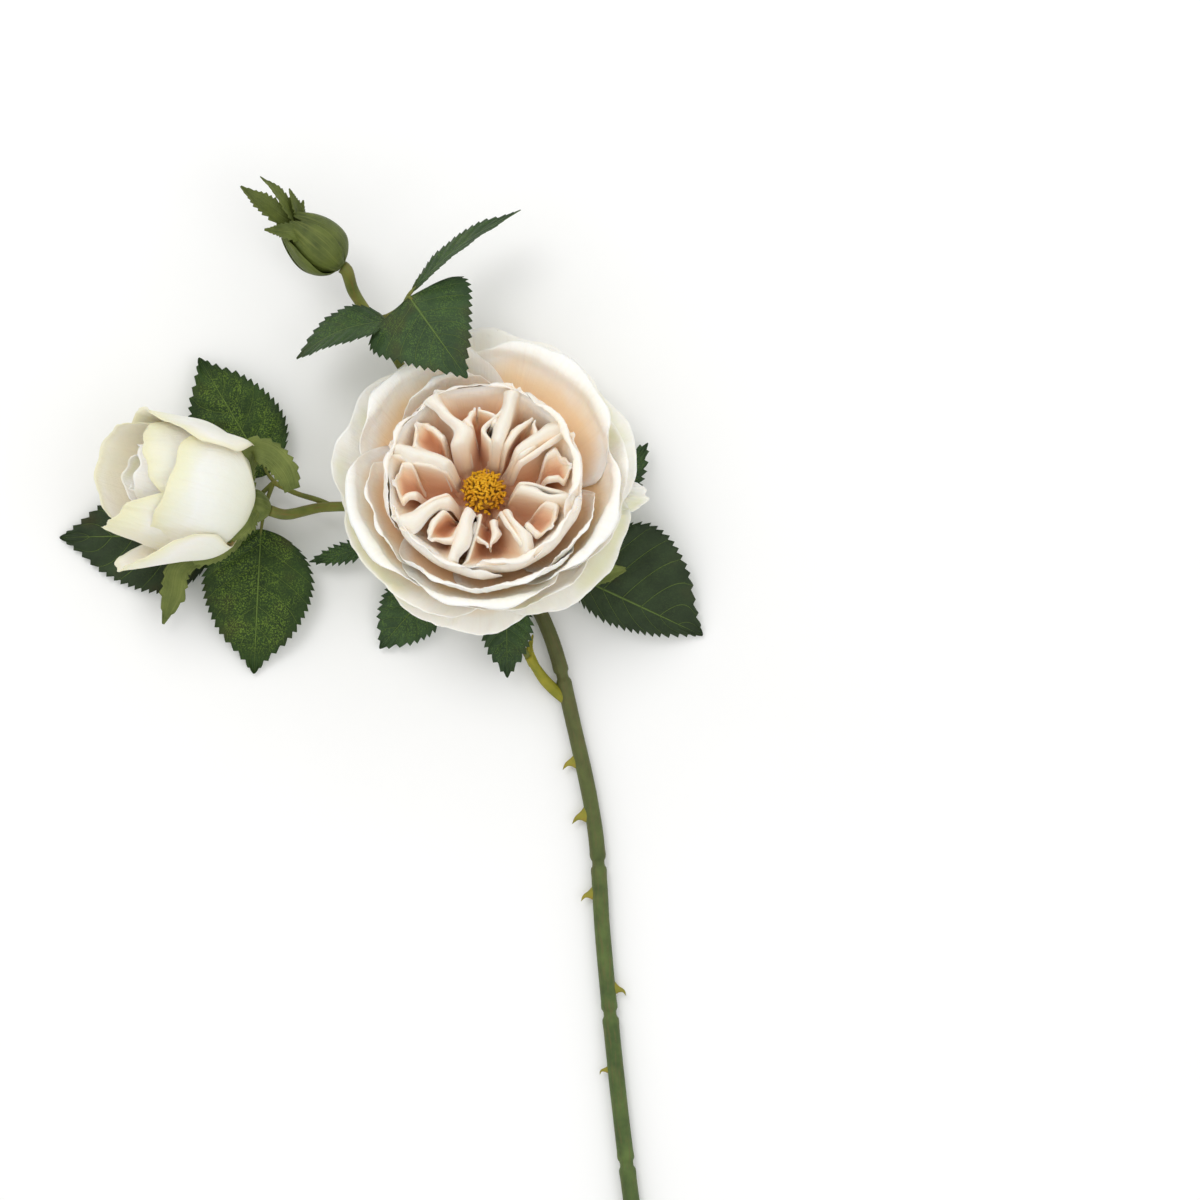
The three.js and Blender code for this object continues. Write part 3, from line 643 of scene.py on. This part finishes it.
fold_ways = [  # width, rim, lip, lean, swing, pinch, then the nested fold's width, lean, lift, start, end
    (1.15, 32, 4.4, 0, 0.5, 0.8, 0.5, -0.5, 5, 0.32, 0.6),
    (0.9, 30, 4.6, -0.2, -1.0, 0, 0.4, 0.5, 7, 0.3, 0.85),
    (1.0, 30, 4.8, 0.1, 0.8, 0, 0.5, -0.4, 5, 0.45, 0.95),
    (0.9, 31, 4.2, -0.15, -1.0, 0, 0.45, 0.5, 7, 0.25, 0.8),
    (0.9, 28, 4.0, 0.25, 1.2, 0, 0.4, -0.7, 6, 0.2, 0.6),
    (1.0, 30, 3.6, -0.1, -0.8, 0, 0.5, 0.3, 6, 0.4, 0.9),
    (1.0, 28.5, 5.0, 0.25, 1.0, 0, 0.4, 0.6, 6, 0.4, 0.9),
    (0.9, 31, 4.6, -0.2, -1.2, 0, 0.45, -0.8, 7, 0.12, 0.7),
]
for k, (width, rim, lip, lean, swing, pinch, *nested) in enumerate(fold_ways):
    azimuth = math.radians(96) + k * SECTOR
    fold = folded_petal(60 + k, azimuth, width, rim, lip, lean, swing, pinch, tone=0.1 * k)
    width, lean, lift, start, end = nested
    small_fold = folded_petal(80 + 3 * k, azimuth, width, rim - 1.5, 2.4, lean, lift=lift, start=start,
                              end=end, ruffle=0.7, shingle=0)
    build(f"folded_petal_{k + 1}", [(*fold, 0), (*small_fold, 0)], BLOOM, [rosette_petal])
print("folded petals, each with a nested fold:", len(fold_ways))

# %% [markdown]
# ### Stamens
# The golden middle is a crowd of thin filaments that fan out of the hip's mouth, each with a split anther on
# top. They are spread by the golden angle, which packs a disc evenly, and each one bends and turns a little
# differently. A low brown dome behind them closes the view to the bottom.

# %% Filaments and anthers
rng = np.random.default_rng(7)
STAMENS = 190
GOLDEN_ANGLE = math.pi * (3 - math.sqrt(5))
dome = [(0.05, 0.3), (2.3, 0.4), (2.3, 6.5), (6.0, 9), (6.6, 11.5), (3.5, 13.2), (0.05, 13.8)]
crowd = [(*turned(dome, 28), 1)]
for k in range(STAMENS):
    share = math.sqrt((k + 0.5) / STAMENS)
    angle = k * GOLDEN_ANGLE + rng.uniform(-0.2, 0.2)
    spread = 8.3 * share
    tip_height = 17.2 - 5.2 * share ** 2 + rng.uniform(-1.0, 0.6)
    out = np.array([math.cos(angle), math.sin(angle), 0])
    foot = out * min(spread, 2 + 4 * share) * 0.7 + (0, 0, 7.5)
    knee = out * spread * 0.85 + (0, 0, tip_height * 0.72)
    head = out * spread + rng.uniform(-0.5, 0.5, 3) + (0, 0, tip_height)
    crowd.append((*tube(through([foot, knee, head], np.linspace(0, 1, 6)), [0.28, 0.24, 0.2], 5,
                        rng.uniform()), 1))
    lie = unit(rng.normal(size=3) * (1, 1, 0.7)) * rng.uniform(0.8, 1.25)
    bow = unit(np.cross(lie, rng.normal(size=3))) * 0.3
    lobe = through([head - lie, head + bow, head + lie], np.linspace(0, 1, 8))
    crowd.append((*tube(lobe, [0.12, 0.42, 0.5, 0.5, 0.44, 0.12], 7, rng.uniform()), 0))
build("stamens", crowd, BLOOM, [gold, filament_skin])
print("stamens:", STAMENS)

# %% [markdown]
# ## The half-open bud
# The bud lies on its side. Its three outer petals are loosening: the upper one has rolled its yellow-green
# rim right out, the front one is a broad smooth shell and the lower one has dropped away from the rest. The
# inner three still close over the heart. The same ring petal serves, with profiles that close in at the top.

# %% Bud petals
bud_ways = [  # name, azimuth, half span, belly, rim radius, rim height, roll, tuck, peel, rounding
    ("outer_bud_petal_1", 264, 50, 28.0, 38.0, 45, 1.2, 1.0, 0, 0.34),
    ("outer_bud_petal_2", 326, 68, 27.0, 24.5, 41, 1.6, 1.6, 0, 0.14),
    ("outer_bud_petal_3", 92, 72, 26.5, 25.0, 49, 2.5, 0.4, 8, 0.3),
    ("inner_bud_petal_1", 150, 74, 24.5, 20.5, 57, 2.0, 1.2, 0, 0.2),
    ("inner_bud_petal_2", 280, 56, 24.5, 22.0, 55, 1.6, -1.4, 0, 0.25),
    ("inner_bud_petal_3", 24, 54, 24.0, 19.5, 51, 1.5, 1.4, 0, 0.2),
]
for k, (name, azimuth, half_span, belly, rim, rim_height, roll, tuck, peel, rounding) in enumerate(bud_ways):
    ring = 5.6 if name.startswith("outer") else 4.3
    profile = rolled([(ring, 0.4), (ring * 2.7, 2.8), (belly * 0.82, 0.2 * rim_height),
                      (belly, 0.48 * rim_height), ((belly + rim) / 2, 0.75 * rim_height),
                      (rim, rim_height)], roll)
    petal = ring_petal(110 + k, profile, azimuth, half_span, tuck=tuck, back_reach=0, rounding=rounding,
                       ruffle=1.2, tone=0.15 * k, peel=peel)
    build(name, [(*petal, 0)], BUD, [bud_petal])
print("bud petals: 6")

# %% The bud's heart: three petals still wound round each other
heart = []
for k, (azimuth, radius, top) in enumerate([(20, 12.5, 51), (140, 10.0, 50), (260, 7.0, 48)]):
    profile = [(2.0, 0.6), (radius * 0.6, 8), (radius, 24), (radius * 1.02, 36), (radius * 0.8, top)]
    petal = ring_petal(130 + k, profile, azimuth, 100, tuck=1.6, back_reach=0, rounding=0.1, ruffle=0.5,
                       tone=0.2 * k)
    heart.append((*petal, 0))
build("bud_heart", heart, BUD, [cream_petal])
print("bud heart petals:", len(heart))

# %% [markdown]
# ## Hips and sepals
# Under each flower sits the green hip with five sepals. A sepal is a leathery ribbon with a ragged edge, and
# it twists as it folds back. So it is made as a ribbon along a route, with a width along it, a hollow across
# it and teeth on its edges.


# %% A sepal along a route
def sepal(seed, route, widths, up, hollow=0.18, teeth=0.12, twist=0.0, tone=0.5):
    rng = np.random.default_rng(seed)
    s, w = grid(64, 16)
    line = through(route, np.linspace(0, 1, 65))
    ahead = unit(np.gradient(line, axis=0))
    side = unit(np.cross(np.broadcast_to(np.array(up, float), ahead.shape), ahead))
    face = np.cross(ahead, side)
    turn = np.linspace(0, math.radians(twist), 65)[:, None]
    side, face = side * np.cos(turn) + face * np.sin(turn), face * np.cos(turn) - side * np.sin(turn)
    width = np.interp(s, np.linspace(0, 1, len(widths)), widths)
    jag = (s * rng.uniform(9, 13) + 0.4 * np.sin(9 * s)) % 1
    half = width * (1 + teeth * (jag - 0.5) * smooth(np.abs(w), 0.7, 1)) * w
    lift = hollow * width * w ** 2 + 0.25 * waves(rng, s * math.pi + w, (3, 5, 8))
    middle = line[:, None] + side[:, None] * half[..., None] + face[:, None] * lift[..., None]
    return sheet(middle, 0.6, s, w, tone)


def hip(top, height, neck):
    return turned([(0.05, -height), (neck, -height), (top * 0.78, -height * 0.7), (top, -height * 0.33),
                   (top * 0.93, -height * 0.06), (top * 0.6, -0.35), (0.05, -0.3)], 36, 26)


def ring_sepals(seed, azimuths, root, length, width, drop, root_height):
    """Sepals that spring from a hip and fold back, each one a little different."""
    rng = np.random.default_rng(seed)
    made = []
    for azimuth in azimuths:
        out = np.array([math.cos(math.radians(azimuth)), math.sin(math.radians(azimuth)), 0])
        reach = length * rng.uniform(0.9, 1.1)
        route = [out * root + (0, 0, root_height), out * (root + reach * 0.35) + (0, 0, root_height - 1.5),
                 out * (root + reach * 0.7) + (0, 0, root_height - 2.5 - drop * 0.3),
                 out * (root + reach) + (rng.uniform(-2, 2), rng.uniform(-2, 2), root_height - 3 - drop)]
        widths = [width * 0.8, width, width * 0.85, width * 0.5, 0.3]
        made.append((*sepal(seed + len(made), route, widths, (0, 0, 1), twist=rng.uniform(-35, 35)), 0))
    return made


bloom_calyx = [(*hip(HIP_RADIUS, 13, 3.0), 0)]
bloom_calyx += ring_sepals(200, [18, 90, 162, 234, 306], HIP_RADIUS - 2, 27, 4.6, 5, -5.4)
build("bloom_calyx", bloom_calyx, BLOOM, [sepal_skin])
print("bloom calyx parts:", len(bloom_calyx))

# %% The bud's calyx: a hip and five sepals that each lie their own way
def into(place, part):
    """Takes a part drawn in the rose's drawing into a bud's own spot."""
    origin, turn = place
    points, faces, marks = part
    return (points - origin) @ turn, faces, marks


bud_calyx = [(*hip(6.6, 9, 2.1), 0)]
bud_sepal_ways = [  # route, widths, up, twist
    ([(-91, -5, 31), (-91.5, 4, 38), (-89, 11, 43), (-82, 9.5, 43), (-76, 3, 40), (-73.5, -4, 37)],
     [3.4, 4.2, 4.8, 5.2, 5.0, 3.0], (0.5, 0, 1), 20),
    ([(-88, -11, 35), (-91, -15, 42), (-96, -20, 44.5), (-101, -24.5, 40)],
     [3.6, 5.4, 4.6, 0.8], (0.3, -0.2, 1), 0),
    ([(-90, -15, 26), (-99, -24, 18), (-110, -29, 14), (-118, -34, 12.5), (-120.5, -44, 12),
      (-124.5, -55.5, 9.5)], [3.0, 4.0, 3.8, 4.6, 5.0, 0.4], (0, 0, 1), 8),
    ([(-90, -13, 30), (-98, -23, 28), (-106, -30, 25), (-112, -32, 23)],
     [3.0, 4.5, 4.0, 0.8], (0.2, -0.6, 1), 0),
    ([(-90, -6, 25), (-99, 0, 18), (-109, 5, 13), (-118, 9, 10)], [3.0, 4.4, 3.6, 0.6], (0, 0.2, 1), 0),
]
for k, (route, widths, up, twist) in enumerate(bud_sepal_ways):
    part = sepal(220 + k, route, widths, up, twist=twist, teeth=0.3, tone=0.2 * k)
    bud_calyx.append((*into(BUD, part), 0))
build("bud_calyx", bud_calyx, BUD, [sepal_skin])
print("bud calyx parts:", len(bud_calyx))

# %% [markdown]
# ## The small closed bud
# Nothing of its flower shows yet. Five sepals hug an egg-shaped body, edge over edge, and run on past its tip
# as leafy points with ragged sides, three of them long and two short.

# %% Small bud
small_bud = [(*turned([(0.05, 0.2), (2.2, 0), (5.2, 2.4), (8.6, 7.4), (9.0, 14.5), (5.6, 22), (1.0, 26.4),
                       (0.05, 26.6)], 36, 30), 0)]
for k in range(5):
    profile = [(1.6, 0.4), (5.8, 2.0), (9.8, 7.4), (10.2, 14.5), (7.4, 22), (3.4, 28.5)]
    hug = ring_petal(140 + k, profile, 26 + k * FIFTH, 42, tuck=1.1, back_reach=0, rounding=0.3, ruffle=0.8,
                     tone=0.2 * k, narrow=0.75)
    small_bud.append((*hug, 0))
tip_ways = [  # route, widths, up, twist
    ([(-70, 95, 34), (-76.5, 99.5, 37), (-84, 105, 38), (-93.4, 112.2, 36)],
     [3.4, 4.6, 4.0, 0.3], (0.3, 0.3, 1), 10),
    ([(-71, 98, 35), (-76, 105, 40), (-80.5, 111, 42.5), (-85.6, 115.6, 42)],
     [3.0, 3.6, 2.8, 0.3], (0.6, 0.4, 1), 30),
    ([(-70, 99, 33), (-72.5, 105, 38), (-74.6, 111, 41)], [2.6, 2.8, 0.4], (0.8, 0.2, 1), 20),
    ([(-67, 93, 38), (-74, 94.5, 42), (-84, 95.4, 41)], [3.6, 3.4, 0.3], (0, 0.2, 1), 0),
    ([(-66, 96, 30), (-70, 101, 33), (-69.5, 107, 35)], [2.6, 2.2, 0.3], (0.9, 0, 1), 0),
]
for k, (route, widths, up, twist) in enumerate(tip_ways):
    part = sepal(240 + k, route, widths, up, hollow=0.3, teeth=0.35, twist=twist, tone=0.2 * k)
    small_bud.append((*into(SMALL_BUD, part), 0))
build("small_bud", small_bud, SMALL_BUD, [small_bud_skin])
print("small bud parts:", len(small_bud))

# %% [markdown]
# ## Leaflets
# A rose leaflet is an egg-shaped blade with saw teeth that point to its tip. It folds a little along the
# midrib, swells between the side veins and waves along its edge. The teeth are cut into the outline itself,
# so they also show from behind and cast their own shadow. Each leaflet has its own short stalk.


# %% One leaflet
QUILT = 0.14


def leaflet(seed, base, tip, left, right, fold, arch, roll=0.0, belly=0.72, wave=0.7, quilt=QUILT):
    rng = np.random.default_rng(seed)
    length = np.linalg.norm(tip - base)
    run = (tip - base) / length
    up = unit(np.array([0, 0, 1]) - run * run[2])
    up = up * math.cos(roll) + np.cross(run, up) * math.sin(roll)
    side = np.cross(up, run)
    s, w = grid(190, 34)
    edge = np.abs(w)
    teeth = round(length / 2.8)
    saw = (teeth * s ** 0.93 + 0.15 * np.sin(11 * s)) % 1
    shape = np.sin(math.pi * np.clip(s, 1e-6, 1 - 1e-6) ** belly) ** 0.8 * (1 - 0.18 * s)
    shape = 0.012 + shape * (1 - 0.42 * smooth(s, 0.72, 1.0))
    width = np.where(w > 0, left, right) * shape
    tooth = smooth(edge, 0.8, 1) * smooth(s, 0.02, 0.12) * (1 - smooth(s, 0.9, 1))
    half = width * edge + tooth * (1.8 * saw - 0.9)
    vein = 7 * (s - 0.20 * edge - 0.06 * edge ** 2) + 0.35
    swell = quilt * np.cos(math.tau * vein) * smooth(edge, 0.05, 0.3) * (1 - smooth(edge, 0.7, 1))
    ripple = wave * smooth(edge, 0.3, 1) * waves(rng, s * math.pi * 2 + (w > 0) * 2.0, (1.5, 2.7, 4.3))
    lift = half * math.sin(fold) + arch * np.sin(math.pi * s) - swell + ripple
    along = s * length + tooth * saw * 0.5
    middle = (base + along[..., None] * run + (np.sign(w) * half * math.cos(fold))[..., None] * side
              + lift[..., None] * up)
    return sheet(middle, 0.42, s, w, vein)


leaf_ways = [  # name, finish, foot of its own short stalk, base, tip, left, right, fold, arch, other ways
    ("bud_leaf_upper", flecked_leaf, [(-79, -2.5, 9.6), (-82, 0, 9.2)],
     (-84, 2.5, 9.5), (-110.9, 47.5, 6), 20.5, 18, 0.05, 1.0, {}),
    ("bud_leaf_left", dark_leaf, [(-82, -1, 9.2), (-92, -10, 6)],
     (-104, -20.5, 4.6), (-165, -22, 1.6), 23.5, 20.5, 0.03, 0.8, dict(wave=0.4)),
    ("bud_leaf_bottom", flecked_leaf, [(-82, -1, 9.2), (-85, -10, 9.5)],
     (-86.5, -19, 11), (-89.7, -74.7, 2.0), 22.5, 22.5, 0.1, 3, {}),
    ("top_leaf_tip", mossy_leaf, [(-31.5, 66.2, 36.5), (-30, 68, 39.5)],
     (-28.5, 69.5, 42), (-6.2, 38.1, 60), 22.5, 24.5, -0.2, 5, dict(belly=0.42, quilt=0.05)),
    ("top_leaf_left", mossy_leaf, [(-31, 66.5, 37.5), (-34, 64, 37)],
     (-37.5, 60.5, 36), (-72, 46.2, 31), 13.5, 13.5, 0.15, 4, dict(roll=1.0)),
    ("top_leaf_right", mossy_leaf, [(-31, 65.5, 38), (-29.6, 69, 40)],
     (-27.5, 72, 41), (13.9, 103.2, 34), 9.5, 9.5, 0.15, 3, dict(roll=-1.2, belly=0.95)),
    ("right_leaf", dark_leaf, [(29, -42.5, 9), (31.5, -39, 9.8)],
     (33, -36.5, 10.5), (84, -60, 1.6), 32.5, 11.5, 0.12, 3, {}),
    ("right_leaf_small", mossy_leaf, [(29.5, -42, 9.1), (38, -28, 9.6)],
     (44, -11, 10), (62.8, 14.5, 8), 7.6, 8.6, 0.1, 3, {}),
    ("back_leaf", mossy_leaf, [(-16, -37.5, 6.8), (-18.5, -39, 7)],
     (-20, -40.5, 7), (-41, -65, 3), 12.5, 13.5, 0.1, 1, {}),
    ("lower_leaf", mossy_leaf, [(9, -48, 9.6), (8.4, -43, 10.2)],
     (8.2, -45, 12), (8.5, -76.2, 11), 10.5, 10.5, 0.1, 2, {}),
    ("left_leaf_small", mossy_leaf, [(-40, -23.5, 9), (-42.5, -24.6, 9)],
     (-44.5, -25.5, 9), (-68.2, -31.5, 6), 4.2, 4.2, 0.1, 1, {}),
]
for k, (name, finish, foot, base, tip, left, right, fold, arch, ways) in enumerate(leaf_ways):
    base, tip = np.array(base, float), np.array(tip, float)
    blade = leaflet(300 + k, base, tip, left, right, fold, arch, **ways)
    ahead = base + unit(tip - base) * 5 + (0, 0, 0.5 * arch * ways.get("quilt", QUILT))
    stalk = tube(through([*foot, base, ahead], np.linspace(0, 1, 26)), [0.95, 0.85, 0.75, 0.6, 0.3], 12)
    build(name, [(*blade, 0), (*stalk, 1)], TABLE, [finish, young_bark])
print("leaflets:", len(leaf_ways))

# %% [markdown]
# ## The stem, its thorns and its branches
# The stem is one smooth round cane. Narrow rings mark where it stopped and grew again, evenly spaced but for
# the top one, and the thorns sit on broad oval feet and hook downwards. The rings are in the radius of the
# tube, and each thorn is its own small tube that thins to a point. A leaf stalk is a thinner tube, and the
# right one carries a small green scale where its leaflets part.

# %% Main stem
STEM_TOP_RADIUS, STEM_CUT_RADIUS = 2.8, 3.4
RING_SPACING, RING_HALF_WIDTH, RING_DEPTH = 58.5, 2.2, 0.6
STEM_STEPS = 560
stem_low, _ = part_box("main_stem")
up_bloom = np.array([0, math.sin(BLOOM_LEAN), math.cos(BLOOM_LEAN)])
stem_bend = np.array([25.8, -62, 4.2])
stem_run = unit(np.array([0.145, -1, 0]))
cut_y = stem_low.y / MM - ZERO[1] + 0.4
stem_end = stem_bend + stem_run * (stem_bend[1] - cut_y) / -stem_run[1]


def down_stem(share, bow=0.0):
    x, y, _ = stem_bend + (stem_end - stem_bend) * share
    return x + bow, y, STEM_CUT_RADIUS


stem_route = [HIP_TOP - up_bloom * 13.3, HIP_TOP - up_bloom * 18, (3.2, -20.5, 10.5), (8, -28, 6.4),
              (15.5, -40, 4.8), stem_bend, down_stem(0.1, 3.6), down_stem(0.22, 6), down_stem(0.35, 3),
              down_stem(0.55), down_stem(0.75, -1), down_stem(1)]
stem_route = through(stem_route, np.linspace(0, 1, STEM_STEPS))
walked = np.concatenate([[0], np.cumsum(np.linalg.norm(np.diff(stem_route, axis=0), axis=1))])
TOP_RING, FIRST_RING = (np.interp(-y, -stem_route[:, 1], walked) for y in (-75.5, -148.0))
past_ring = walked - FIRST_RING
off_ring = np.abs(past_ring - np.maximum(np.round(past_ring / RING_SPACING), 0) * RING_SPACING)
off_ring = np.minimum(off_ring, np.abs(walked - TOP_RING))
ringed_length = walked > TOP_RING - 8
in_ring = ringed_length * (1 - smooth(off_ring, 0.35 * RING_HALF_WIDTH, RING_HALF_WIDTH))
shoulder = ringed_length * np.exp(-((off_ring - RING_HALF_WIDTH - 1.0) / 1.4) ** 2)
stem_radii = np.linspace(STEM_TOP_RADIUS, STEM_CUT_RADIUS, STEM_STEPS)
stem_radii = stem_radii - RING_DEPTH * in_ring + 0.14 * shoulder
stem_radii += 0.07 * waves(np.random.default_rng(3), walked / 9, (1, 2.3, 3.1))
stem_radii[-4:] -= np.array([0.0, 0.1, 0.3, 0.6])
stem_parts = [(*tube(stem_route, stem_radii, 28), 0)]
print("stem length, mm:", round(walked[-1]))


# %% Thorns and the side shoot
def stem_point(y):
    k = int(np.argmin(np.abs(stem_route[:, 1] - y)))
    return stem_route[k], stem_radii[k]


thorn_ways = [  # height on the stem, side, size
    (-110, -1, 1.1), (-131, -1, 1.2), (-161, -1, 1.0), (-198, 1, 0.9), (-229, -1, 0.7), (-306, 1, 0.9),
]
for k, (y, side, grow) in enumerate(thorn_ways):
    middle, radius = stem_point(y)
    reach = radius + 4.4 * grow
    hook = [middle + (side * radius * 0.2, 1.6 * grow, 0), middle + (side * radius, 1.2 * grow, 0),
            middle + (side * (radius + 0.4 * reach), 0.4, 0.3), middle + (side * reach, -1.6 * grow, 0.6)]
    route = through(hook, np.linspace(0, 1, 24))
    points, faces, marks = tube(route, np.array([4.2, 3.6, 2.3, 1.3, 0.8, 0.45, 0.06]) * grow, 24, 0.1 * k)
    points[:, 2] = middle[2] + (points[:, 2] - middle[2]) * 0.5
    stem_parts.append((points, faces, marks, 1))
shoot_foot, _ = stem_point(-86)
shoot = through([shoot_foot, (23.2, -77.5, 5), (19.6, -72.5, 7), (16.6, -68, 9)], np.linspace(0, 1, 24))
stem_parts.append((*tube(shoot, [1.9, 2.3, 2.2, 1.9, 1.6], 18), 2))
for k, (dx, dy, dz) in enumerate([(1.8, 8.5, 1.2), (-2.4, 5.2, 0.6), (0.4, 6.0, -1.0)]):
    route = [shoot[-5] + (0.25 * dx, 0, 0.2), shoot[-1] + (0.4 * dx, 0.3 * dy, 0.5), shoot[-1] + (dx, dy, dz)]
    stem_parts.append((*sepal(260 + k, route, [1.5, 1.2, 0.2], (0, 0, 1), teeth=0.1), 2))
build("main_stem", stem_parts, TABLE, [bark, thorn_skin, sheath_skin])
print("stem parts:", len(stem_parts))

# %% Branches and leaf stalks
bud_axis, small_axis = BUD[1][:, 2], SMALL_BUD[1][:, 2]
bud_foot = BUD[0] - bud_axis * 9.3
small_foot = SMALL_BUD[0] - small_axis * 0.3
branch_ways = [  # name, radii, route
    ("bud_branch", [2.1, 1.9, 1.85, 1.9, 2.0, 2.15], [
        (3, -19.8, 12), (-2, -20.3, 12.8), (-14, -16, 12), (-40, -10.8, 12), (-62, -10.4, 14.5),
        bud_foot - bud_axis * 6, bud_foot]),
    ("top_branch", [2.1, 1.95, 1.8, 1.8, 1.9, 2.6], [
        (0.5, -16, 14), (-3.2, -11, 10), (-10, 6, 7.5), (-22, 27, 5.8), (-35, 48, 9), (-44.4, 63, 18.5),
        (-50.5, 72.5, 24.5), small_foot - small_axis * 2, small_foot]),
    ("lower_leaf_stalk", [1.25, 1.0, 0.9], [
        (17, -69, 8.6), (15.4, -66.4, 9.7), (12, -60, 9.5), (8.3, -42, 9.5)]),
    ("right_leaf_stalk", [1.2, 1.0, 0.95], [
        (19.5, -50, 5.5), (23.2, -48, 7.8), (28, -44, 9), (33, -38, 9.5)]),
    ("back_leaf_stalk", [1.2, 1.0, 0.9], [
        (7.5, -27.5, 6.5), (3.4, -29, 5.9), (-8, -33.5, 6), (-19, -39, 7)]),
    ("left_leaf_stalk", [1.1, 0.95, 0.85], [
        (-24.5, -13.6, 11.6), (-27, -17.5, 10), (-33, -21, 9), (-43, -24.8, 9)]),
    ("bud_leaf_stalk", [1.2, 1.0, 1.0], [
        (-59, -10, 13.8), (-65, -7.5, 12.6), (-73, -5, 10.5), (-82.5, -0.5, 9.8)]),
    ("top_leaf_stalk", [1.2, 1.0, 0.95], [
        (-44, 62.2, 18.2), (-41.5, 61.8, 22.5), (-35.5, 63.5, 32), (-29.5, 67.5, 39.6)]),
]
share = np.linspace(0, 1, 110)
for name, radii, route in branch_ways:
    swell = 1 + 0.03 * waves(np.random.default_rng(len(name)), 30 * share, (1, 2.1, 3.3))
    radii = np.interp(share, np.linspace(0, 1, len(radii)), radii) * swell
    parts = [(*tube(through(route, share), radii, 18), 0)]
    if name == "right_leaf_stalk":
        route = [(31, -40, 9.2), (40, -38, 11.5), (48, -35.5, 12.5), (55.5, -34, 11)]
        parts.append((*sepal(270, route, [1.0, 3.2, 3.6, 0.3], (0, 0, 1)), 1))
    build(name, parts, TABLE, [young_bark, sepal_skin])
print("branches and stalks:", len(branch_ways))

# %% [markdown]
# ## Table, light and camera
# Flowers like these are shown on white, under a big soft light that leaves hardly any shadow. A wide table
# under an even white sky gives that. A broad lamp above and a weaker one beside it add just enough direction
# to model the petals.
# The camera looks straight down on the lying stem from far away, so nothing is stretched towards the edges.

# %% Table
bpy.ops.mesh.primitive_plane_add(size=30, location=(0, 0, -0.0004))
table = bpy.context.object
table.name = "table"
paper = Recipe("table_white", 0.8)
paper.colour(paper.ramp(paper.grain(paper.where(), 3.0), [(0.3, (243, 243, 242)), (0.7, (248, 248, 247))]))
paper.relief(paper.grain(paper.where(), 600.0), 0.0002, 0.1)
table.data.materials.append(paper.finish)
print("table, m:", round(table.dimensions.x, 1))

# %% Light
SKY_STRENGTH = 0.91
sky = bpy.data.worlds.new("studio")
bpy.context.scene.world = sky
sky.use_nodes = True
sky.node_tree.nodes["Background"].inputs["Color"].default_value = (1, 1, 1, 1)
sky.node_tree.nodes["Background"].inputs["Strength"].default_value = SKY_STRENGTH
bpy.context.scene.view_settings.view_transform = "Standard"
middle = ZERO * MM


def lamp(name, side, size, power, aim=(0, 0, 0.03)):
    light = bpy.data.lights.new(name, "AREA")
    light.shape = "DISK"
    light.size = size
    light.energy = power
    holder = bpy.data.objects.new(name, light)
    holder.location = Vector(middle) + Vector(side)
    way = Vector(middle) + Vector(aim) - holder.location
    holder.rotation_euler = way.to_track_quat("-Z", "Y").to_euler()
    bpy.context.scene.collection.objects.link(holder)


lamp("key_lamp", (-0.5, 0.7, 1.5), 0.7, 6)
lamp("fill_lamp", (0.9, -0.4, 1.6), 1.2, 2.5)

# %% Camera
CAMERA_HEIGHT = 3.0
VIEW_WIDTH = 0.462
SENSOR = 36
VIEW_MIDDLE = np.array([44.3, -46.2, 20])
camera = bpy.data.cameras.new("overhead")
camera.sensor_width = SENSOR
camera.lens = SENSOR * CAMERA_HEIGHT / VIEW_WIDTH
camera.clip_end = 100
stand = bpy.data.objects.new("overhead", camera)
stand.location = Vector((ZERO + VIEW_MIDDLE) * MM) + Vector((0, 0, CAMERA_HEIGHT))
bpy.context.scene.collection.objects.link(stand)
bpy.context.scene.camera = stand
print("lens, mm:", round(camera.lens, 1))
